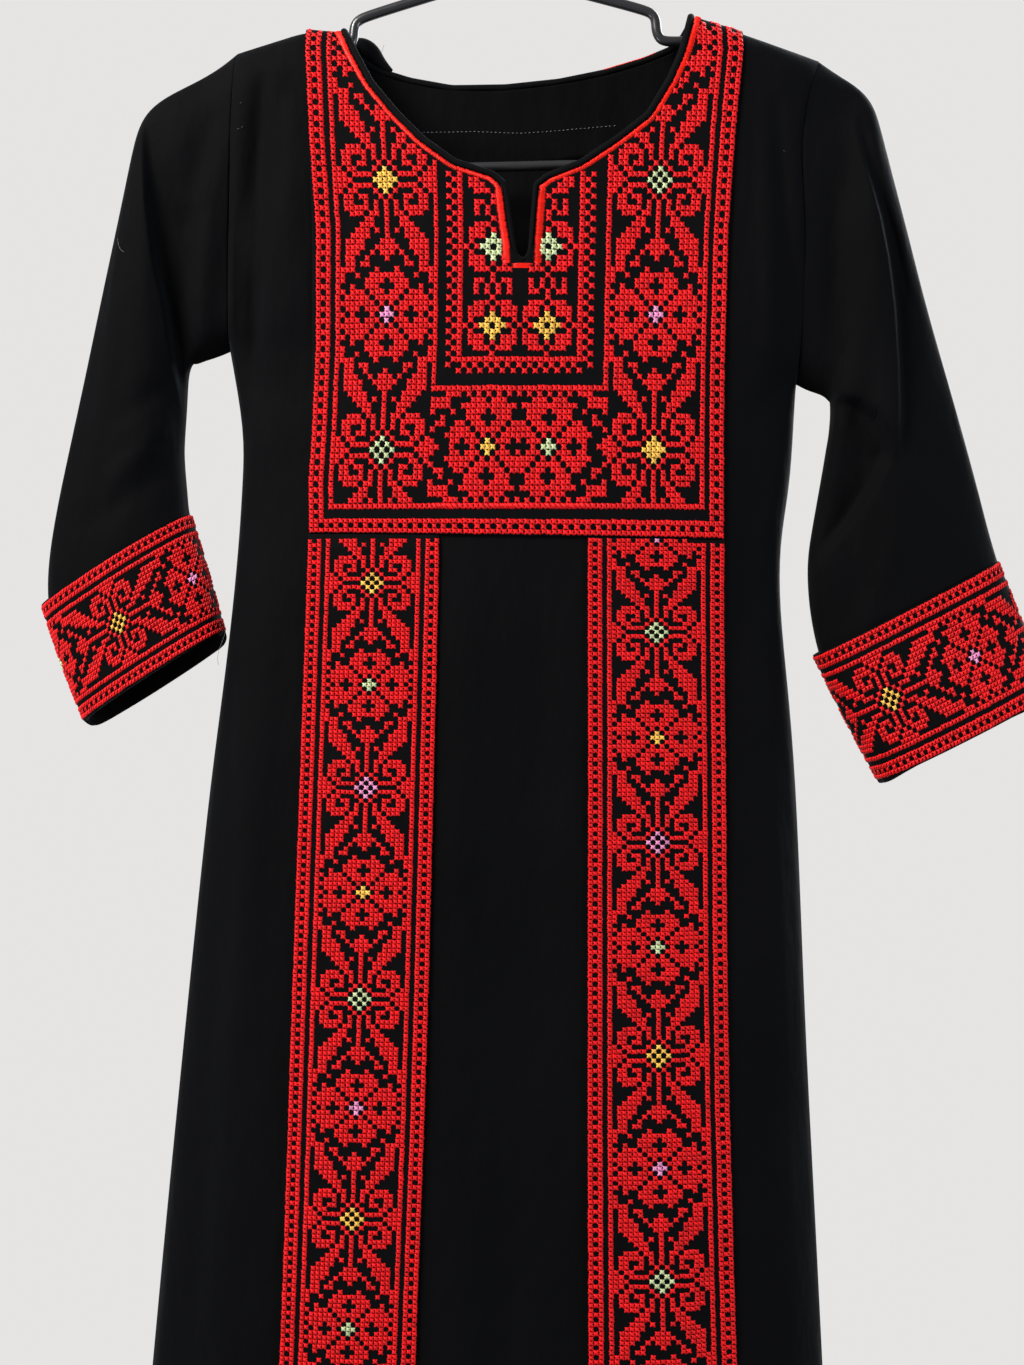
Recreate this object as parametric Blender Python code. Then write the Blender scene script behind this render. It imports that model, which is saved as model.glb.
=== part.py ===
"""A black thobe dress with cross-stitched panels, hanging on a tube hanger.

Metres, +Z up. The front of the dress faces -Y, and the origin is the inside top of the
hanger's hook. Tables are in millimetres. Each cloth piece is a wall: a grid of points on the
outside of the garment, and the same grid moved in along normals that all pieces share.
"""

import math

import bmesh
import bpy
import numpy as np

MM = 0.001

# Cloth
CLOTH = 2.0 * MM
STITCHED = 1.4 * MM
SEAM_GAP = 0.3 * MM
HEM_Z = -1407.0

# Depth of the garment's two halves, front of and behind the hanger
ARMHOLE_DEPTH = 17.0
SHOULDER_ROUND = 24.0
UNDERARM_ROUND = 42.0
FOLD_POWER = 2.3

# Depth over which the folds die out, towards a seam or a side fold
BODY_CALM = 14.0
SLEEVE_CALM = 10.0
FOLD_ENDS = 0.35
CREASE_ANGLE = math.radians(50)

# Neck
BINDING_WIDTH = 4.8
BINDING_THICK = 3.6
BINDING_INNER = 0.1
BINDING_SINK = 0.5
BINDING_SLACK = 0.3
BINDING_GAP = 0.5
# The binding's rounded section, in shares of half its width and half its thickness
BINDING_SECTION = ((-1, -0.5), (-0.6, -1), (0.6, -1), (1, -0.5), (1, 0.5), (0.6, 1), (-0.6, 1), (-1, 0.5))
FACING = 1.2
FACING_ROWS = 6
FACING_INSET = 0.6
PANEL_INSET = 0.4

# Hanger
ROD = 7.0
TUBE_ROUNDNESS = 2
HOOK_RADIUS = 17.5
HANGER_TILT = math.radians(1.35)
HANGER_APEX_Z = -93.0
HANGER_BAR_Z = -213.0
HANGER_BAR_POINTS = (-120, -40, 40, 120)
# The hook's stem from the frame up, then its bend by degrees round the rail
HOOK_STEM = ((0.0, -77.0), (0.5, -60.0), (5.0, -48.0))
HOOK_BEND = range(-52, 206, 16)
HOOK_FOOT_GAP = 0.5

# One arm of the hanger's frame, x and z, from beside its middle to the end of the lower bar
HANGER_ARM = (
    (30, -100), (62, -109), (84, -115.5), (92.5, -119), (95, -124), (95.5, -130),
    (98.5, -135.6), (107, -136.8), (124, -137), (142, -140), (167, -147.2), (192, -160.8),
    (205, -169.7), (212, -180), (211, -195), (201, -206.5), (182, -211.8),
)

SHOULDER_LEFT = {"armhole": (-168.0, -142.0), "panel": (-124.0, -128.5), "neck": (-103.5, -130.5)}
SHOULDER_RIGHT = {"armhole": (198.0, -147.0), "panel": (148.0, -129.5), "neck": (119.0, -121.0)}
UNDERARM_LEFT = (-173.0, -330.0)
UNDERARM_RIGHT = (183.0, -350.0)

# Side to side at each height: the two side folds, the edges of the stitched panels, and how
# far the front and the back stand from the hanger's plane.
SECTION_COLUMNS = ("z", "side_l", "panel_l", "band_l", "band_r", "panel_r", "side_r", "front", "back")
SECTIONS = (
    (-147, -168.0, -124.0, -52.0, 62.0, 148.0, 198.0, 26, 20),
    (-170, -169.5, -122.5, -48.0, 59.0, 145.5, 188.5, 28, 22),
    (-200, -171.0, -121.0, -44.0, 56.0, 142.5, 184.0, 29, 23),
    (-260, -172.0, -118.3, -41.0, 52.0, 138.0, 187.0, 31, 25),
    (-330, -173.0, -118.7, -40.0, 51.0, 136.0, 185.0, 32, 27),
    (-355, -168.2, -118.7, -40.0, 51.0, 135.8, 182.4, 33, 28),
    (-385, -163.0, -119.5, -40.0, 51.0, 135.5, 181.4, 34, 28),
    (-415, -165.6, -121.5, -40.0, 51.0, 135.6, 179.4, 34, 29),
    (-448, -167.4, -121.0, -40.0, 50.7, 135.5, 173.0, 35, 29),
    (-480, -170.2, -121.8, -40.5, 50.7, 135.0, 171.6, 36, 30),
    (-540, -177.2, -123.8, -41.8, 50.7, 135.3, 178.2, 38, 30),
    (-610, -186.8, -126.0, -43.4, 50.7, 135.8, 184.0, 40, 31),
    (-700, -196.0, -129.0, -45.6, 50.4, 136.3, 187.0, 42, 32),
    (-800, -206.0, -132.0, -48.4, 50.2, 137.4, 191.0, 45, 33),
    (-900, -216.0, -135.0, -52.2, 50.4, 140.0, 197.0, 47, 35),
    (-1000, -225.0, -138.5, -55.6, 50.8, 143.0, 201.5, 49, 37),
    (-1120, -236.0, -142.0, -59.0, 51.5, 146.5, 207.5, 51, 40),
    (-1250, -249.0, -146.0, -62.5, 52.3, 150.5, 214.5, 53, 43),
    (-1407, -264.0, -151.0, -66.5, 53.0, 155.0, 222.0, 55, 46),
)

# The finished edge of the front neckline, from each shoulder to the foot of the slit.
FRONT_NECK = (
    (-98.7, -129.5), (-97.0, -133.4), (-94.9, -138.4), (-91.0, -147.5), (-80.8, -167.0),
    (-66.0, -185.0), (-49.5, -201.8),
    (-30.5, -215.7), (-6.5, -223.6), (1.4, -230.5), (3.9, -250.0), (6.0, -268.0),
    (11.2, -275.0), (14.4, -267.0), (15.8, -250.0), (17.4, -231.0), (25.0, -224.8),
    (45.5, -216.6), (68.0, -201.5), (86.5, -187.0), (99.5, -165.5), (107.0, -148.0),
    (110.6, -135.0), (112.9, -126.0), (113.9, -121.5),
)
BACK_NECK = (
    (-98.7, -129.5), (-97.0, -132.3), (-93.6, -136.5), (-79.0, -144.5), (-60.0, -150.0), (-34.0, -154.5),
    (0.0, -154.0), (34.0, -150.5), (62.0, -145.0), (88.0, -137.5), (105.0, -131.0),
    (110.8, -126.3), (113.9, -121.5),
)

# Sleeves: each row is one ring. The outer and inner edge as the front view shows them, the
# half depth, and how far the back half sits behind the hanger's plane.
SLEEVE_COLUMNS = ("outer_x", "outer_z", "inner_x", "inner_z", "depth", "behind")
SLEEVE_LEFT = (
    (-181.5, -152.5, -181.5, -333.5, 18.5, 0),
    (-199.5, -162.0, -190.5, -336.0, 20.0, 0),
    (-217.5, -171.0, -196.5, -339.0, 21.0, 0),
    (-229.5, -183.0, -199.0, -345.0, 21.5, 1),
    (-234.0, -203.0, -200.0, -354.0, 21.5, 2),
    (-242.5, -240.6, -200.5, -366.0, 21.5, 3),
    (-254.5, -294.0, -201.5, -380.0, 21.5, 4),
    (-265.5, -345.0, -202.5, -394.0, 21.5, 5),
    (-276.0, -392.0, -201.0, -410.0, 22.0, 6),
    (-287.0, -444.0, -199.6, -423.0, 22.5, 6),
    (-291.7, -489.5, -199.0, -431.5, 24.0, 6),
    (-279.0, -528.0, -187.5, -469.0, 25.0, 6),
    (-265.0, -562.0, -177.5, -506.0, 26.0, 6),
)
SLEEVE_RIGHT = (
    (210.5, -155.5, 190.0, -354.0, 18.5, 0),
    (221.5, -162.0, 196.5, -356.0, 20.0, 0),
    (231.0, -172.0, 201.5, -358.0, 21.0, 0),
    (236.0, -187.0, 204.8, -362.0, 21.5, 1),
    (243.5, -216.0, 205.2, -370.0, 21.5, 2),
    (253.0, -250.0, 204.0, -381.0, 21.5, 3),
    (264.5, -295.0, 201.2, -398.0, 21.5, 4),
    (277.0, -337.0, 197.2, -420.0, 21.5, 5),
    (290.0, -381.0, 192.5, -445.0, 22.0, 6),
    (301.0, -422.0, 188.5, -470.0, 22.5, 6),
    (310.6, -461.1, 194.8, -521.0, 25.0, 6),
    (327.0, -503.0, 214.0, -560.0, 26.0, 6),
    (343.6, -545.0, 236.0, -600.0, 27.0, 6),
)
CUFF_RINGS = 3
BACK_DROP = 6.0
SLEEVE_SETTLE = 5
# The back of a sleeve has the front's folds, moved and lower
SLEEVE_BACK_SHIFT = (12.0, 14.0)
SLEEVE_BACK_SHARE = 0.8

# Share of the way down each armhole, and from the chest to the hem
YOKE_ROWS = (0, 0.015, 0.055, 0.12, 0.19, 0.27, 0.4, 0.56, 0.72, 0.86, 0.95, 1)
RING_SPREAD = (0, 0.012, 0.05, 0.13, 0.25, 0.38, 0.5, 0.63, 0.76, 0.88, 0.96, 1)
LEVELS = (-385, -415, -448, -490, -540, -600, -680, -770, -870, -980, -1100, -1220, -1320, HEM_Z)
PANEL_FOOT = LEVELS.index(-448)
SIDE_SPREAD = (0, 0.05, 0.18, 0.42, 0.7, 1)
NECK_SPREAD = (0.5, 1)
CHEST_Z = -340.0
# The line from underarm to underarm leans, and is level again this far down
LEAN_END = -540.0
LEAN_LENGTH = 200.0
LEAN_SHARE = 0.6

# Where each neck column of the cloth stands at chest height
FRONT_CHEST = (
    -101, -96, -89, -78, -66, -53, -40, -12, -1, 5, 9, 12, 15, 20, 26, 36, 51, 68, 84, 97, 106, 112, 117,
)
BACK_CHEST = (-97, -88, -69, -45, -20, 5, 30, 54, 78, 100, 112)
SHOULDER_CHEST_LEFT = [-112.0, -105.0]
SHOULDER_CHEST_RIGHT = [129.0, 122.5]
PANEL_FIRST = len(SIDE_SPREAD) - 1
NECK_FIRST = len(SIDE_SPREAD) + 2
BAND_INNER_LEFT = NECK_FIRST + FRONT_CHEST.index(-40)
BAND_INNER_RIGHT = NECK_FIRST + FRONT_CHEST.index(51)

# Soft folds. Each runs between two points of the front view and is a ridge where its height
# is over 0, or a trough where it is under.
FOLD_COLUMNS = ("x1", "z1", "x2", "z2", "width", "height")
FRONT_FOLDS = (
    (-148, -180, -158, -300, 9, -7),
    (-158, -300, -157, -365, 9, -6),
    (-139, -190, -150, -360, 8, 3),
    (178, -270, 176, -350, 8, -6),
    (168, -250, 166, -380, 9, 3),
    (-152, -480, -170, -900, 16, 4),
    (-170, -900, -190, -1407, 20, 7),
    (-192, -640, -215, -1407, 14, -5),
    (0, -620, 2, -1407, 26, -5),
    (165, -520, 178, -1407, 16, 5),
    (-95, -900, -100, -1407, 30, 4),
    (95, -860, 100, -1407, 30, 4),
)
BACK_FOLDS = (
    (-60, -200, -70, -700, 18, -4),
    (70, -200, 76, -700, 18, -4),
    (-120, -420, -150, -1407, 26, 6),
    (-40, -560, -45, -1407, 24, -5),
    (30, -520, 36, -1407, 26, 6),
    (110, -450, 135, -1407, 24, -5),
    (165, -600, 180, -1407, 20, 5),
)
SLEEVE_FOLDS = {
    "left": (
        (-232, -200, -216, -322, 9, 4),
        (-206, -225, -214, -325, 9, -6),
        (-214, -325, -203, -392, 8, -5),
        (-228, -345, -240, -470, 16, 4),
        (-262, -330, -272, -460, 10, -3),
    ),
    "right": (
        (226, -182, 246, -400, 10, 4),
        (212, -200, 212, -320, 10, -6),
        (224, -360, 214, -470, 9, -7),
        (214, -470, 200, -500, 8, -4),
        (268, -330, 288, -440, 12, -3),
    ),
}

FINISHES = {
    "cloth": {"colour": (0.012, 0.012, 0.015), "roughness": 0.75},
    "stitched": {"colour": (0.62, 0.02, 0.025), "roughness": 0.6},
    "binding": {"colour": (0.01, 0.01, 0.012), "roughness": 0.6},
    "facing": {"colour": (0.016, 0.016, 0.019), "roughness": 0.75},
    "tube": {"colour": (0.035, 0.035, 0.04), "roughness": 0.35},
}


def material(name):
    made = bpy.data.materials.new(name)
    made.use_nodes = True
    shader = made.node_tree.nodes["Principled BSDF"]
    shader.inputs["Base Color"].default_value = (*FINISHES[name]["colour"], 1)
    shader.inputs["Roughness"].default_value = FINISHES[name]["roughness"]
    return made


def quarter_round(distance, radius):
    """0 at an edge, rising as a quarter of an ellipse to 1 at the radius."""
    share = min(max(distance / radius, 0.0), 1.0)
    return math.sqrt(1 - (1 - share) ** 2)


def rounded(across):
    """1 in the middle of a flattened tube, falling to 0 at its side folds."""
    return (1 - across**FOLD_POWER) ** (1 / FOLD_POWER)


def section(z):
    """The table's row at height z, as a dictionary."""
    rows = np.array(SECTIONS, float)[::-1]
    return {
        name: float(np.interp(z, rows[:, 0], rows[:, k]))
        for k, name in enumerate(SECTION_COLUMNS)
    }


def folds_at(folds, x, z):
    """How far the cloth stands out at a point, from the folds near it."""
    total = 0.0
    for values in folds:
        fold = dict(zip(FOLD_COLUMNS, values))
        along = np.array([fold["x2"] - fold["x1"], fold["z2"] - fold["z1"]], float)
        aside, below = x - fold["x1"], z - fold["z1"]
        share = np.clip(np.dot([aside, below], along) / along.dot(along), 0, 1)
        away = math.hypot(aside - share * along[0], below - share * along[1])
        ends = FOLD_ENDS + (1 - FOLD_ENDS) * math.sin(math.pi * (0.15 + 0.7 * share))
        total += fold["height"] * ends * math.exp(-((away / fold["width"]) ** 2))
    return total


def smooth(share):
    share = min(max(share, 0.0), 1.0)
    return share * share * (3 - 2 * share)


def offset_line(line, distance):
    """The line's points moved sideways, to the left of the way it runs."""
    points = np.array(line, float)
    ahead = np.gradient(points, axis=0)
    ahead /= np.linalg.norm(ahead, axis=1)[:, None]
    return points + distance * np.column_stack([-ahead[:, 1], ahead[:, 0]])


def shoulder_z(x):
    """Height of the shoulder line, carried straight over the neck opening."""
    left, right = SHOULDER_LEFT, SHOULDER_RIGHT
    line = [left["armhole"], left["panel"], left["neck"]]
    line += [right["neck"], right["panel"], right["armhole"]]
    xs, zs = zip(*line)
    return float(np.interp(x, xs, zs))


def half_depth(x, z, side):
    """How far the front or back stands from the hanger's plane at a point of the front view."""
    row = section(z)
    middle = (row["side_l"] + row["side_r"]) / 2
    under = UNDERARM_LEFT[1] if x < middle else UNDERARM_RIGHT[1]
    edge = ARMHOLE_DEPTH * quarter_round(z - under, UNDERARM_ROUND)
    half = (row["side_r"] - row["side_l"]) / 2
    crown = rounded(min(abs(x - middle) / half, 1.0))
    wrap = quarter_round(shoulder_z(x) - z, SHOULDER_ROUND)
    return wrap * (edge + (row[side] - edge) * crown)


def body_point(x, z, side):
    depth = half_depth(x, z, side)
    calm = smooth(depth / BODY_CALM)
    folds = FRONT_FOLDS if side == "front" else BACK_FOLDS
    depth += calm * folds_at(folds, x, z)
    return (x, -depth if side == "front" else depth, z)


def shoulder_points():
    """The points along both shoulder seams, from the armhole to the neck."""
    found = []
    for row in (SHOULDER_LEFT, SHOULDER_RIGHT):
        arm, panel, neck = (np.array(row[k]) for k in ("armhole", "panel", "neck"))
        run = [arm + (panel - arm) * s for s in SIDE_SPREAD]
        run += [panel + (neck - panel) * s for s in NECK_SPREAD]
        found.append(run)
    return found[0], found[1][::-1]


def yoke_columns(neck_line, chest_shares):
    """(top point, chest x) of each column, from the left armhole to the right one."""
    left, right = shoulder_points()
    row = section(CHEST_Z)
    lx, rx = UNDERARM_LEFT[0], UNDERARM_RIGHT[0]
    chest_left = [lx + (row["panel_l"] - lx) * s for s in SIDE_SPREAD] + SHOULDER_CHEST_LEFT
    chest_right = [rx + (row["panel_r"] - rx) * s for s in SIDE_SPREAD] + SHOULDER_CHEST_RIGHT
    tops = left + list(neck_line[1:-1]) + right
    chest = chest_left + list(chest_shares) + chest_right[::-1]
    return tops, chest


def chest_z(x):
    """Height of the line from underarm to underarm."""
    return float(np.interp(x, *zip(UNDERARM_LEFT, UNDERARM_RIGHT)))


def column_x(chest_x, z):
    """A column's place below the chest: it keeps its share between the edges around it."""
    top, row = section(CHEST_Z), section(z)
    names = ("side_l", "panel_l", "band_l", "band_r", "panel_r", "side_r")
    marks = [top[n] for n in names]
    marks[0], marks[-1] = UNDERARM_LEFT[0], UNDERARM_RIGHT[0]
    return float(np.interp(chest_x, marks, [row[n] for n in names]))


def body_grid(side, neck_line, chest_shares):
    """Rows of points from the shoulders and neckline down to the hem."""
    tops, chest = yoke_columns(neck_line, chest_shares)
    rows = []
    for share in YOKE_ROWS:
        row = []
        for number, (top, low) in enumerate(zip(tops, chest)):
            z = top[1] + (chest_z(low) - top[1]) * share
            line = section(z)
            if number <= PANEL_FIRST:
                x = line["side_l"] + (line["panel_l"] - line["side_l"]) * SIDE_SPREAD[number]
            elif number >= len(tops) - 1 - PANEL_FIRST:
                spread = SIDE_SPREAD[len(tops) - 1 - number]
                x = line["side_r"] + (line["panel_r"] - line["side_r"]) * spread
            else:
                x = top[0] + (low - top[0]) * smooth(share)
            row.append(body_point(x, z, side))
        rows.append(row)
    for level in LEVELS:
        row = []
        for low in chest:
            lean = smooth((level - LEAN_END) / LEAN_LENGTH)
            z = level + lean * (chest_z(low) - chest_z(0)) * LEAN_SHARE
            row.append(body_point(column_x(low, z), z, side))
        rows.append(row)
    return np.array(rows)


def sleeve_grid(body_front, body_back, hand):
    """Rings from the armhole to the wrist. Each starts at the shoulder, goes down the front
    and comes back up behind."""
    column = 0 if hand == "left" else -1
    count = len(YOKE_ROWS)
    first = np.concatenate([body_front[:count, column], body_back[count - 2 : 0 : -1, column]])
    table = SLEEVE_LEFT if hand == "left" else SLEEVE_RIGHT
    rings = [first]
    sides = np.array(table, float)[-2:, :4].reshape(2, 2, 2)
    down = (sides[1] - sides[0]).mean(axis=0)
    down /= np.linalg.norm(down)
    for number, values in enumerate(table):
        line = dict(zip(SLEEVE_COLUMNS, values))
        outer = np.array([line["outer_x"], line["outer_z"]])
        inner = np.array([line["inner_x"], line["inner_z"]])
        settle = smooth((number + 1) / SLEEVE_SETTLE)
        spread = np.array(YOKE_ROWS) * (1 - settle) + np.array(RING_SPREAD) * settle
        ring = []
        for k in range(2 * count - 2):
            front = k < count
            share = spread[k] if front else spread[2 * count - 2 - k]
            at = outer + (inner - outer) * share
            bulge = line["depth"] * rounded(abs(2 * share - 1))
            calm = smooth(bulge / SLEEVE_CALM)
            if front:
                bulge += calm * folds_at(SLEEVE_FOLDS[hand], *at)
            else:
                bulge += calm * folds_at(SLEEVE_FOLDS[hand], *(at + SLEEVE_BACK_SHIFT)) * SLEEVE_BACK_SHARE
            if number == len(table) - 1 and not front:
                at = at + down * BACK_DROP * calm
            ring.append((at[0], line["behind"] + (-bulge if front else bulge), at[1]))
        rings.append(np.array(ring))
    return np.array(rings)


def shared_normals(grids):
    """Outward normals at every point, summed over all the pieces that meet there."""
    sums = {}

    def key(point):
        return tuple(np.round(point, 4))

    for grid, ring, turned in grids:
        rows, columns = grid.shape[:2]
        across = columns if ring else columns - 1
        for j in range(rows - 1):
            for i in range(across):
                quad = [grid[j, i], grid[j, (i + 1) % columns]]
                quad += [grid[j + 1, (i + 1) % columns], grid[j + 1, i]]
                normal = np.cross(quad[2] - quad[0], quad[3] - quad[1])
                normal = -normal if turned else normal
                for point in quad:
                    sums[key(point)] = sums.get(key(point), 0) + normal
    found = []
    for grid, _, _ in grids:
        normals = np.array([[sums[key(p)] for p in row] for row in grid])
        found.append(normals / np.linalg.norm(normals, axis=2)[:, :, None])
    return found


def trimmed(grid, normals, edges):
    """The grid with the named edges drawn back from the seam by half the gap."""
    half = SEAM_GAP / MM / 2
    moved = grid.copy()
    steps = {"top": (0, 1), "bottom": (-1, -2), "first": (0, 1), "last": (-1, -2)}
    for edge in edges:
        at, near = steps[edge]
        if edge in ("top", "bottom"):
            ahead = moved[near] - moved[at]
            ahead -= (ahead * normals[at]).sum(axis=1)[:, None] * normals[at]
            moved[at] += half * ahead / np.linalg.norm(ahead, axis=1)[:, None]
        else:
            ahead = moved[:, near] - moved[:, at]
            ahead -= (ahead * normals[:, at]).sum(axis=1)[:, None] * normals[:, at]
            moved[:, at] += half * ahead / np.linalg.norm(ahead, axis=1)[:, None]
    return moved


def wall(name, outer, inner, ring, finish):
    """A closed solid between two grids of points, open-ended rings included."""
    rows, columns = outer.shape[:2]
    mesh = bmesh.new()
    skins = [
        [[mesh.verts.new(np.array(p) * MM) for p in row] for row in grid]
        for grid in (outer, inner)
    ]
    across = columns if ring else columns - 1
    for j in range(rows - 1):
        for i in range(across):
            n = (i + 1) % columns
            for skin, turned in zip(skins, (False, True)):
                quad = [skin[j][i], skin[j][n], skin[j + 1][n], skin[j + 1][i]]
                for corners in ((0, 1, 2), (0, 2, 3)):
                    three = [quad[k] for k in corners]
                    mesh.faces.new(three[::-1] if turned else three)
    ends = [(row, i, (i + 1) % columns) for row in (0, rows - 1) for i in range(across)]
    for j, i, n in ends:
        mesh.faces.new([skins[0][j][i], skins[0][j][n], skins[1][j][n], skins[1][j][i]])
    if not ring:
        for j in range(rows - 1):
            for i in (0, columns - 1):
                quad = [skins[0][j][i], skins[0][j + 1][i], skins[1][j + 1][i], skins[1][j][i]]
                mesh.faces.new(quad)
    bmesh.ops.recalc_face_normals(mesh, faces=mesh.faces[:])
    data = bpy.data.meshes.new(name)
    mesh.to_mesh(data)
    mesh.free()
    data.shade_smooth()
    data.set_sharp_from_angle(angle=CREASE_ANGLE)
    data.materials.append(finish)
    made = bpy.data.objects.new(name, data)
    bpy.context.scene.collection.objects.link(made)
    return made


def drawn_in(grid, normals, ring, inset):
    """A panel's points with its edges moved inwards, each normal turned to match."""
    both = np.concatenate([grid, normals], axis=2)
    edges = [(0, 1), (-1, -2)]
    for at, near in edges:
        share = inset / np.linalg.norm(both[near, :, :3] - both[at, :, :3], axis=1)[:, None]
        both[at] += share * (both[near] - both[at])
    for at, near in [] if ring else edges:
        share = inset / np.linalg.norm(both[:, near, :3] - both[:, at, :3], axis=1)[:, None]
        both[:, at] += share * (both[:, near] - both[:, at])
    return both[:, :, :3], both[:, :, 3:]


def layer(name, grid, normals, ring, finish, lift, thick, inset):
    """A panel on the cloth: the cloth's own points, moved out, its edges drawn in."""
    base, ways = drawn_in(grid, normals, ring, inset)
    return wall(name, base + ways * (lift + thick), base + ways * lift, ring, finish)


def tube(name, route, radius, finish, closed=False):
    """A round rod along a route of points, as a curve with a bevel."""
    curve = bpy.data.curves.new(name, "CURVE")
    curve.dimensions = "3D"
    curve.bevel_depth = radius * MM
    curve.bevel_resolution = TUBE_ROUNDNESS
    curve.use_fill_caps = not closed
    line = curve.splines.new("POLY")
    line.points.add(len(route) - 1)
    for point, place in zip(line.points, route):
        point.co = (*[c * MM for c in place], 1)
    line.use_cyclic_u = closed
    line.use_smooth = True
    curve.materials.append(finish)
    made = bpy.data.objects.new(name, curve)
    bpy.context.scene.collection.objects.link(made)
    return made


def smooth_route(corners, steps, closed=False):
    """Points on a smooth curve through the corners."""
    count = len(corners)
    points = [np.array(c, float) for c in corners]
    route = []
    for k in range(count if closed else count - 1):
        if closed:
            a, b, c, d = (points[(k + n) % count] for n in (-1, 0, 1, 2))
        else:
            a, b, c, d = points[max(k - 1, 0)], points[k], points[k + 1], points[min(k + 2, count - 1)]
        for t in np.arange(steps) / steps:
            curve = 2 * b + (c - a) * t + (2 * a - 5 * b + 4 * c - d) * t**2
            route.append((curve + (3 * b - a - 3 * c + d) * t**3) / 2)
    if not closed:
        route.append(points[-1])
    return route


def leaning(x, z):
    """A point of the hanger's frame, which hangs a little higher on the right."""
    return (x, 0.0, z + x * math.tan(HANGER_TILT))


def hanger_frame(finish):
    left = [leaning(-x, z) for x, z in HANGER_ARM]
    right = [leaning(x, z) for x, z in reversed(HANGER_ARM)]
    bar = [leaning(x, HANGER_BAR_Z) for x in HANGER_BAR_POINTS]
    route = smooth_route([leaning(0, HANGER_APEX_Z), *left, *bar, *right], 2, closed=True)
    return tube("hanger_frame", route, ROD / 2, finish, closed=True)


def hanger_hook(finish):
    """The hook, whose inside top is the origin."""
    centre = -HOOK_RADIUS
    reach = HOOK_RADIUS + ROD / 2
    route = [(0, 0, HANGER_APEX_Z + ROD / 2 + HOOK_FOOT_GAP)]
    route += [(x, 0, z) for x, z in HOOK_STEM]
    for degrees in HOOK_BEND:
        angle = math.radians(degrees)
        route.append((reach * math.cos(angle), 0, centre + reach * math.sin(angle)))
    return tube("hanger_hook", smooth_route(route, 1), ROD / 2, finish)


def neck_edge(line, side):
    """(inner, outer) points of the binding on the garment's surface."""
    out = -1 if side == "front" else 1
    points = np.array(line, float)
    away = offset_line(line, out * 1.0) - points
    away[0] = (-1, 0) if side == "front" else (1, 0)
    away[-1] = (1, 0) if side == "front" else (-1, 0)
    inner = [body_point(*(p + BINDING_INNER * a), side) for p, a in zip(points, away)]
    outer = [body_point(*(p + BINDING_WIDTH * a), side) for p, a in zip(points, away)]
    return inner, outer


def neck_binding(front_line, back_line):
    inner, outer = neck_edge(front_line, "front")
    inner_back, outer_back = neck_edge(back_line[::-1], "back")
    inner = np.array(inner + inner_back[1:-1])
    outer = np.array(outer + outer_back[1:-1])
    middle = (inner + outer) / 2
    ahead = np.roll(middle, -1, axis=0) - np.roll(middle, 1, axis=0)
    ahead /= np.linalg.norm(ahead, axis=1)[:, None]
    across = inner - outer
    across /= np.linalg.norm(across, axis=1)[:, None]
    up = np.cross(ahead, across)
    up /= np.linalg.norm(up, axis=1)[:, None]
    half_width = (BINDING_WIDTH - BINDING_SLACK) / 2
    half_thick = BINDING_THICK / 2
    centre = middle - up * (CLOTH / MM / 2 - BINDING_SINK)
    mesh = bmesh.new()
    rings = []
    for c, a, u in zip(centre, across, up):
        ring = [c + a * half_width * s + u * half_thick * t for s, t in BINDING_SECTION]
        rings.append([mesh.verts.new(p * MM) for p in ring])
    for one, two in zip(rings, rings[1:] + rings[:1]):
        for k in range(len(BINDING_SECTION)):
            n = (k + 1) % len(BINDING_SECTION)
            mesh.faces.new([one[k], one[n], two[n], two[k]])
    bmesh.ops.recalc_face_normals(mesh, faces=mesh.faces[:])
    data = bpy.data.meshes.new("neck_binding")
    mesh.to_mesh(data)
    mesh.free()
    data.shade_smooth()
    data.materials.append(material("binding"))
    made = bpy.data.objects.new("neck_binding", data)
    bpy.context.scene.collection.objects.link(made)
    return made


def cloth_edge(line):
    """Where the cloth starts, beside the binding."""
    return offset_line(line, -(BINDING_WIDTH + BINDING_GAP))


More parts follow.
